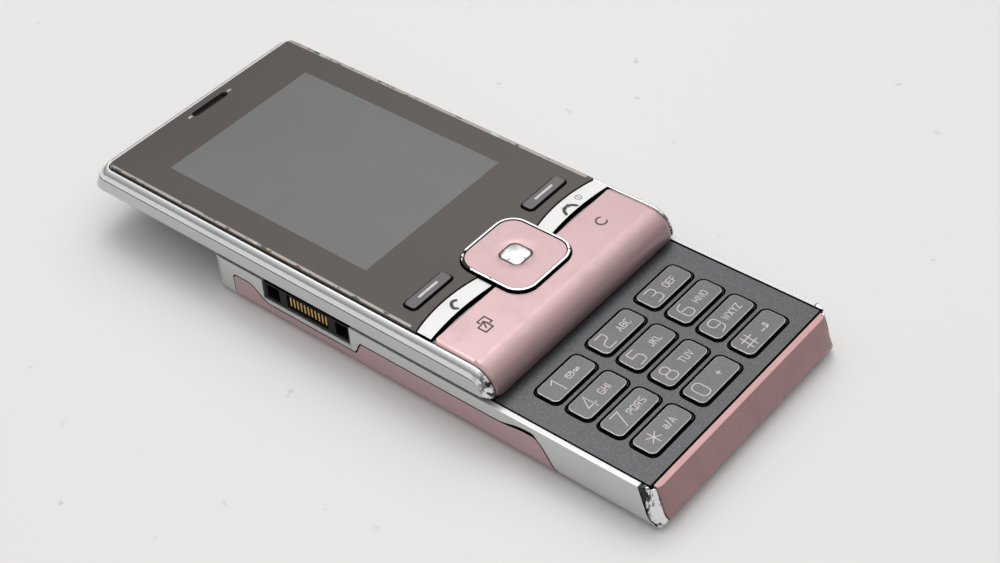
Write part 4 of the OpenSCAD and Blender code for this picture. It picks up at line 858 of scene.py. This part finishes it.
def inlay_bars():
    """The pale light guide in the middle of each soft key."""
    for node in ("soft_key_left", "soft_key_right"):
        lo, hi = low(node), high(node)
        x, y, z = (lo.x + hi.x) / 2, (lo.y + hi.y) / 2, hi.z + INK_LIFT
        bar = box_outline(x - 2.3, y - 0.2, x + 2.3, y + 0.26, 0.22)
        inlay(node + "_bar", BODY_OF[node], "light guide", [bar], z)


PALE_SIDE_WIDTH = 0.55       # width of the pale lines along the glass's sides: worn bevel with a painted highlight
PALE_TOP_WIDTH = 0.16        # and of its top edge


def mark_glass():
    """The worn ends of the earpiece slot, and pale lines along the glass's sides and top: its worn bevel with
    a painted highlight along it.
    """
    z = high("front_window").z + INK_LIFT
    lo, hi = low("earpiece_mesh"), high("earpiece_mesh")
    y = (lo.y + hi.y) / 2
    marks = [box_outline(x - 0.45, y - 0.18, x + 0.45, y + 0.3, 0.15) for x in (lo.x - 0.7, hi.x + 0.8)]
    inlay("earpiece_marks", "slider", "key edge highlight and earpiece scuff", marks, z)
    lo, hi = low("front_window"), high("front_window")
    bm = bmesh.new()
    for x in (lo.x + 0.34, hi.x - 0.34):
        ribbon(bm, ((x, 2.4), (x, hi.y - 1.2)), False, PALE_SIDE_WIDTH, z)
    ribbon(bm, ((lo.x + 1.5, hi.y - 0.16), (hi.x - 1.5, hi.y - 0.16)), False, PALE_TOP_WIDTH, z)
    flat_piece("glass_edge_wear_and_highlight", "slider", "edge", bm)


# ---------- Floor and light ----------

def direction(azimuth, elevation):
    """Unit vector; azimuth is turned from +Y towards +X."""
    a, e = math.radians(azimuth), math.radians(elevation)
    return (math.sin(a) * math.cos(e), math.cos(a) * math.cos(e), math.sin(e))


def add_area(name, at, look_at, size, power):
    data = bpy.data.lights.new(name, "AREA")
    data.shape = "SQUARE"
    data.size = size
    data.energy = power
    lamp = bpy.data.objects.new(name, data)
    lamp.location = at
    lamp.rotation_euler = (Vector(look_at) - Vector(at)).to_track_quat("-Z", "Y").to_euler()
    bpy.context.scene.collection.objects.link(lamp)


FLOOR_HALF = 1.5         # half the floor's side, in metres
FLOOR_DROP = 0.02        # mm from the phone's back down to the floor
# The sky's brightness by height, dark near the horizon and brighter overhead
SKY = ((0.02, 0.12), (0.5, 0.38), (0.78, 0.95))
# A broad soft light high on the far right, without an edge: where it is, and the cosines
# of the angles from there at which it begins and is full, with its brightness at both
GLOW_AT = direction(65, 58)
GLOW_RANGE = (0.788, 0.985, 0.0, 0.9)
KEY_LIGHT_AT = Vector(direction(38, 63)) * 0.85


def make_floor():
    mesh = bpy.data.meshes.new("floor")
    corners = [(x * FLOOR_HALF, y * FLOOR_HALF, 0) for x, y in ((-1, -1), (1, -1), (1, 1), (-1, 1))]
    mesh.from_pydata(corners, [], [(0, 1, 2, 3)])
    floor = bpy.data.objects.new("floor", mesh)
    floor.location.z = -FLOOR_DROP * MM
    bpy.context.scene.collection.objects.link(floor)
    paper = Look("white board", (0.80, 0.795, 0.78), 0.6)
    paper.tint(paper.ramp(paper.noise(6, 2), 0.35, 0.7, 0, 0.5), (0.775, 0.77, 0.757))
    paper.tint(paper.ramp(paper.noise(240, 2), 0.73, 0.78), (0.62, 0.61, 0.60))
    paper.bump(paper.noise(900, 3), 0.03, 0.3)
    mesh.materials.append(paper.mat)


def make_sky():
    world = bpy.data.worlds.new("studio")
    world.use_nodes = True
    bpy.context.scene.world = world
    nodes, links = world.node_tree.nodes, world.node_tree.links
    back = nodes["Background"]
    place = nodes.new("ShaderNodeTexCoord")
    split = nodes.new("ShaderNodeSeparateXYZ")
    ramp = nodes.new("ShaderNodeValToRGB")
    links.new(place.outputs["Generated"], split.inputs[0])
    links.new(split.outputs["Z"], ramp.inputs["Fac"])
    stops = ramp.color_ramp.elements
    for i, (position, level) in enumerate(SKY):
        stop = stops.new(position) if i else stops[0]
        stop.position = position
        stop.color = (level, level, level, 1)
    stops.remove(stops[-1])
    toward = nodes.new("ShaderNodeVectorMath")
    toward.operation = "DOT_PRODUCT"
    toward.inputs[1].default_value = GLOW_AT
    links.new(place.outputs["Generated"], toward.inputs[0])
    glow = nodes.new("ShaderNodeMapRange")
    glow.interpolation_type = "SMOOTHSTEP"
    for name, number in zip(RANGE_INPUTS, GLOW_RANGE):
        glow.inputs[name].default_value = number
    links.new(toward.outputs["Value"], glow.inputs["Value"])
    total = nodes.new("ShaderNodeMath")
    total.operation = "ADD"
    links.new(ramp.outputs["Color"], total.inputs[0])
    links.new(glow.outputs["Result"], total.inputs[1])
    links.new(total.outputs[0], back.inputs["Color"])
    back.inputs["Strength"].default_value = 1.0


def make_studio():
    make_floor()
    make_sky()
    add_area("key_light", KEY_LIGHT_AT, look_at=(0, 0.01, 0), size=0.35, power=1.2)
    bpy.context.scene.view_settings.view_transform = "Standard"


make_camera()
dress_casing()
dress_window()
print_legends()
line_openings()
inlay_bars()
mark_glass()
make_studio()
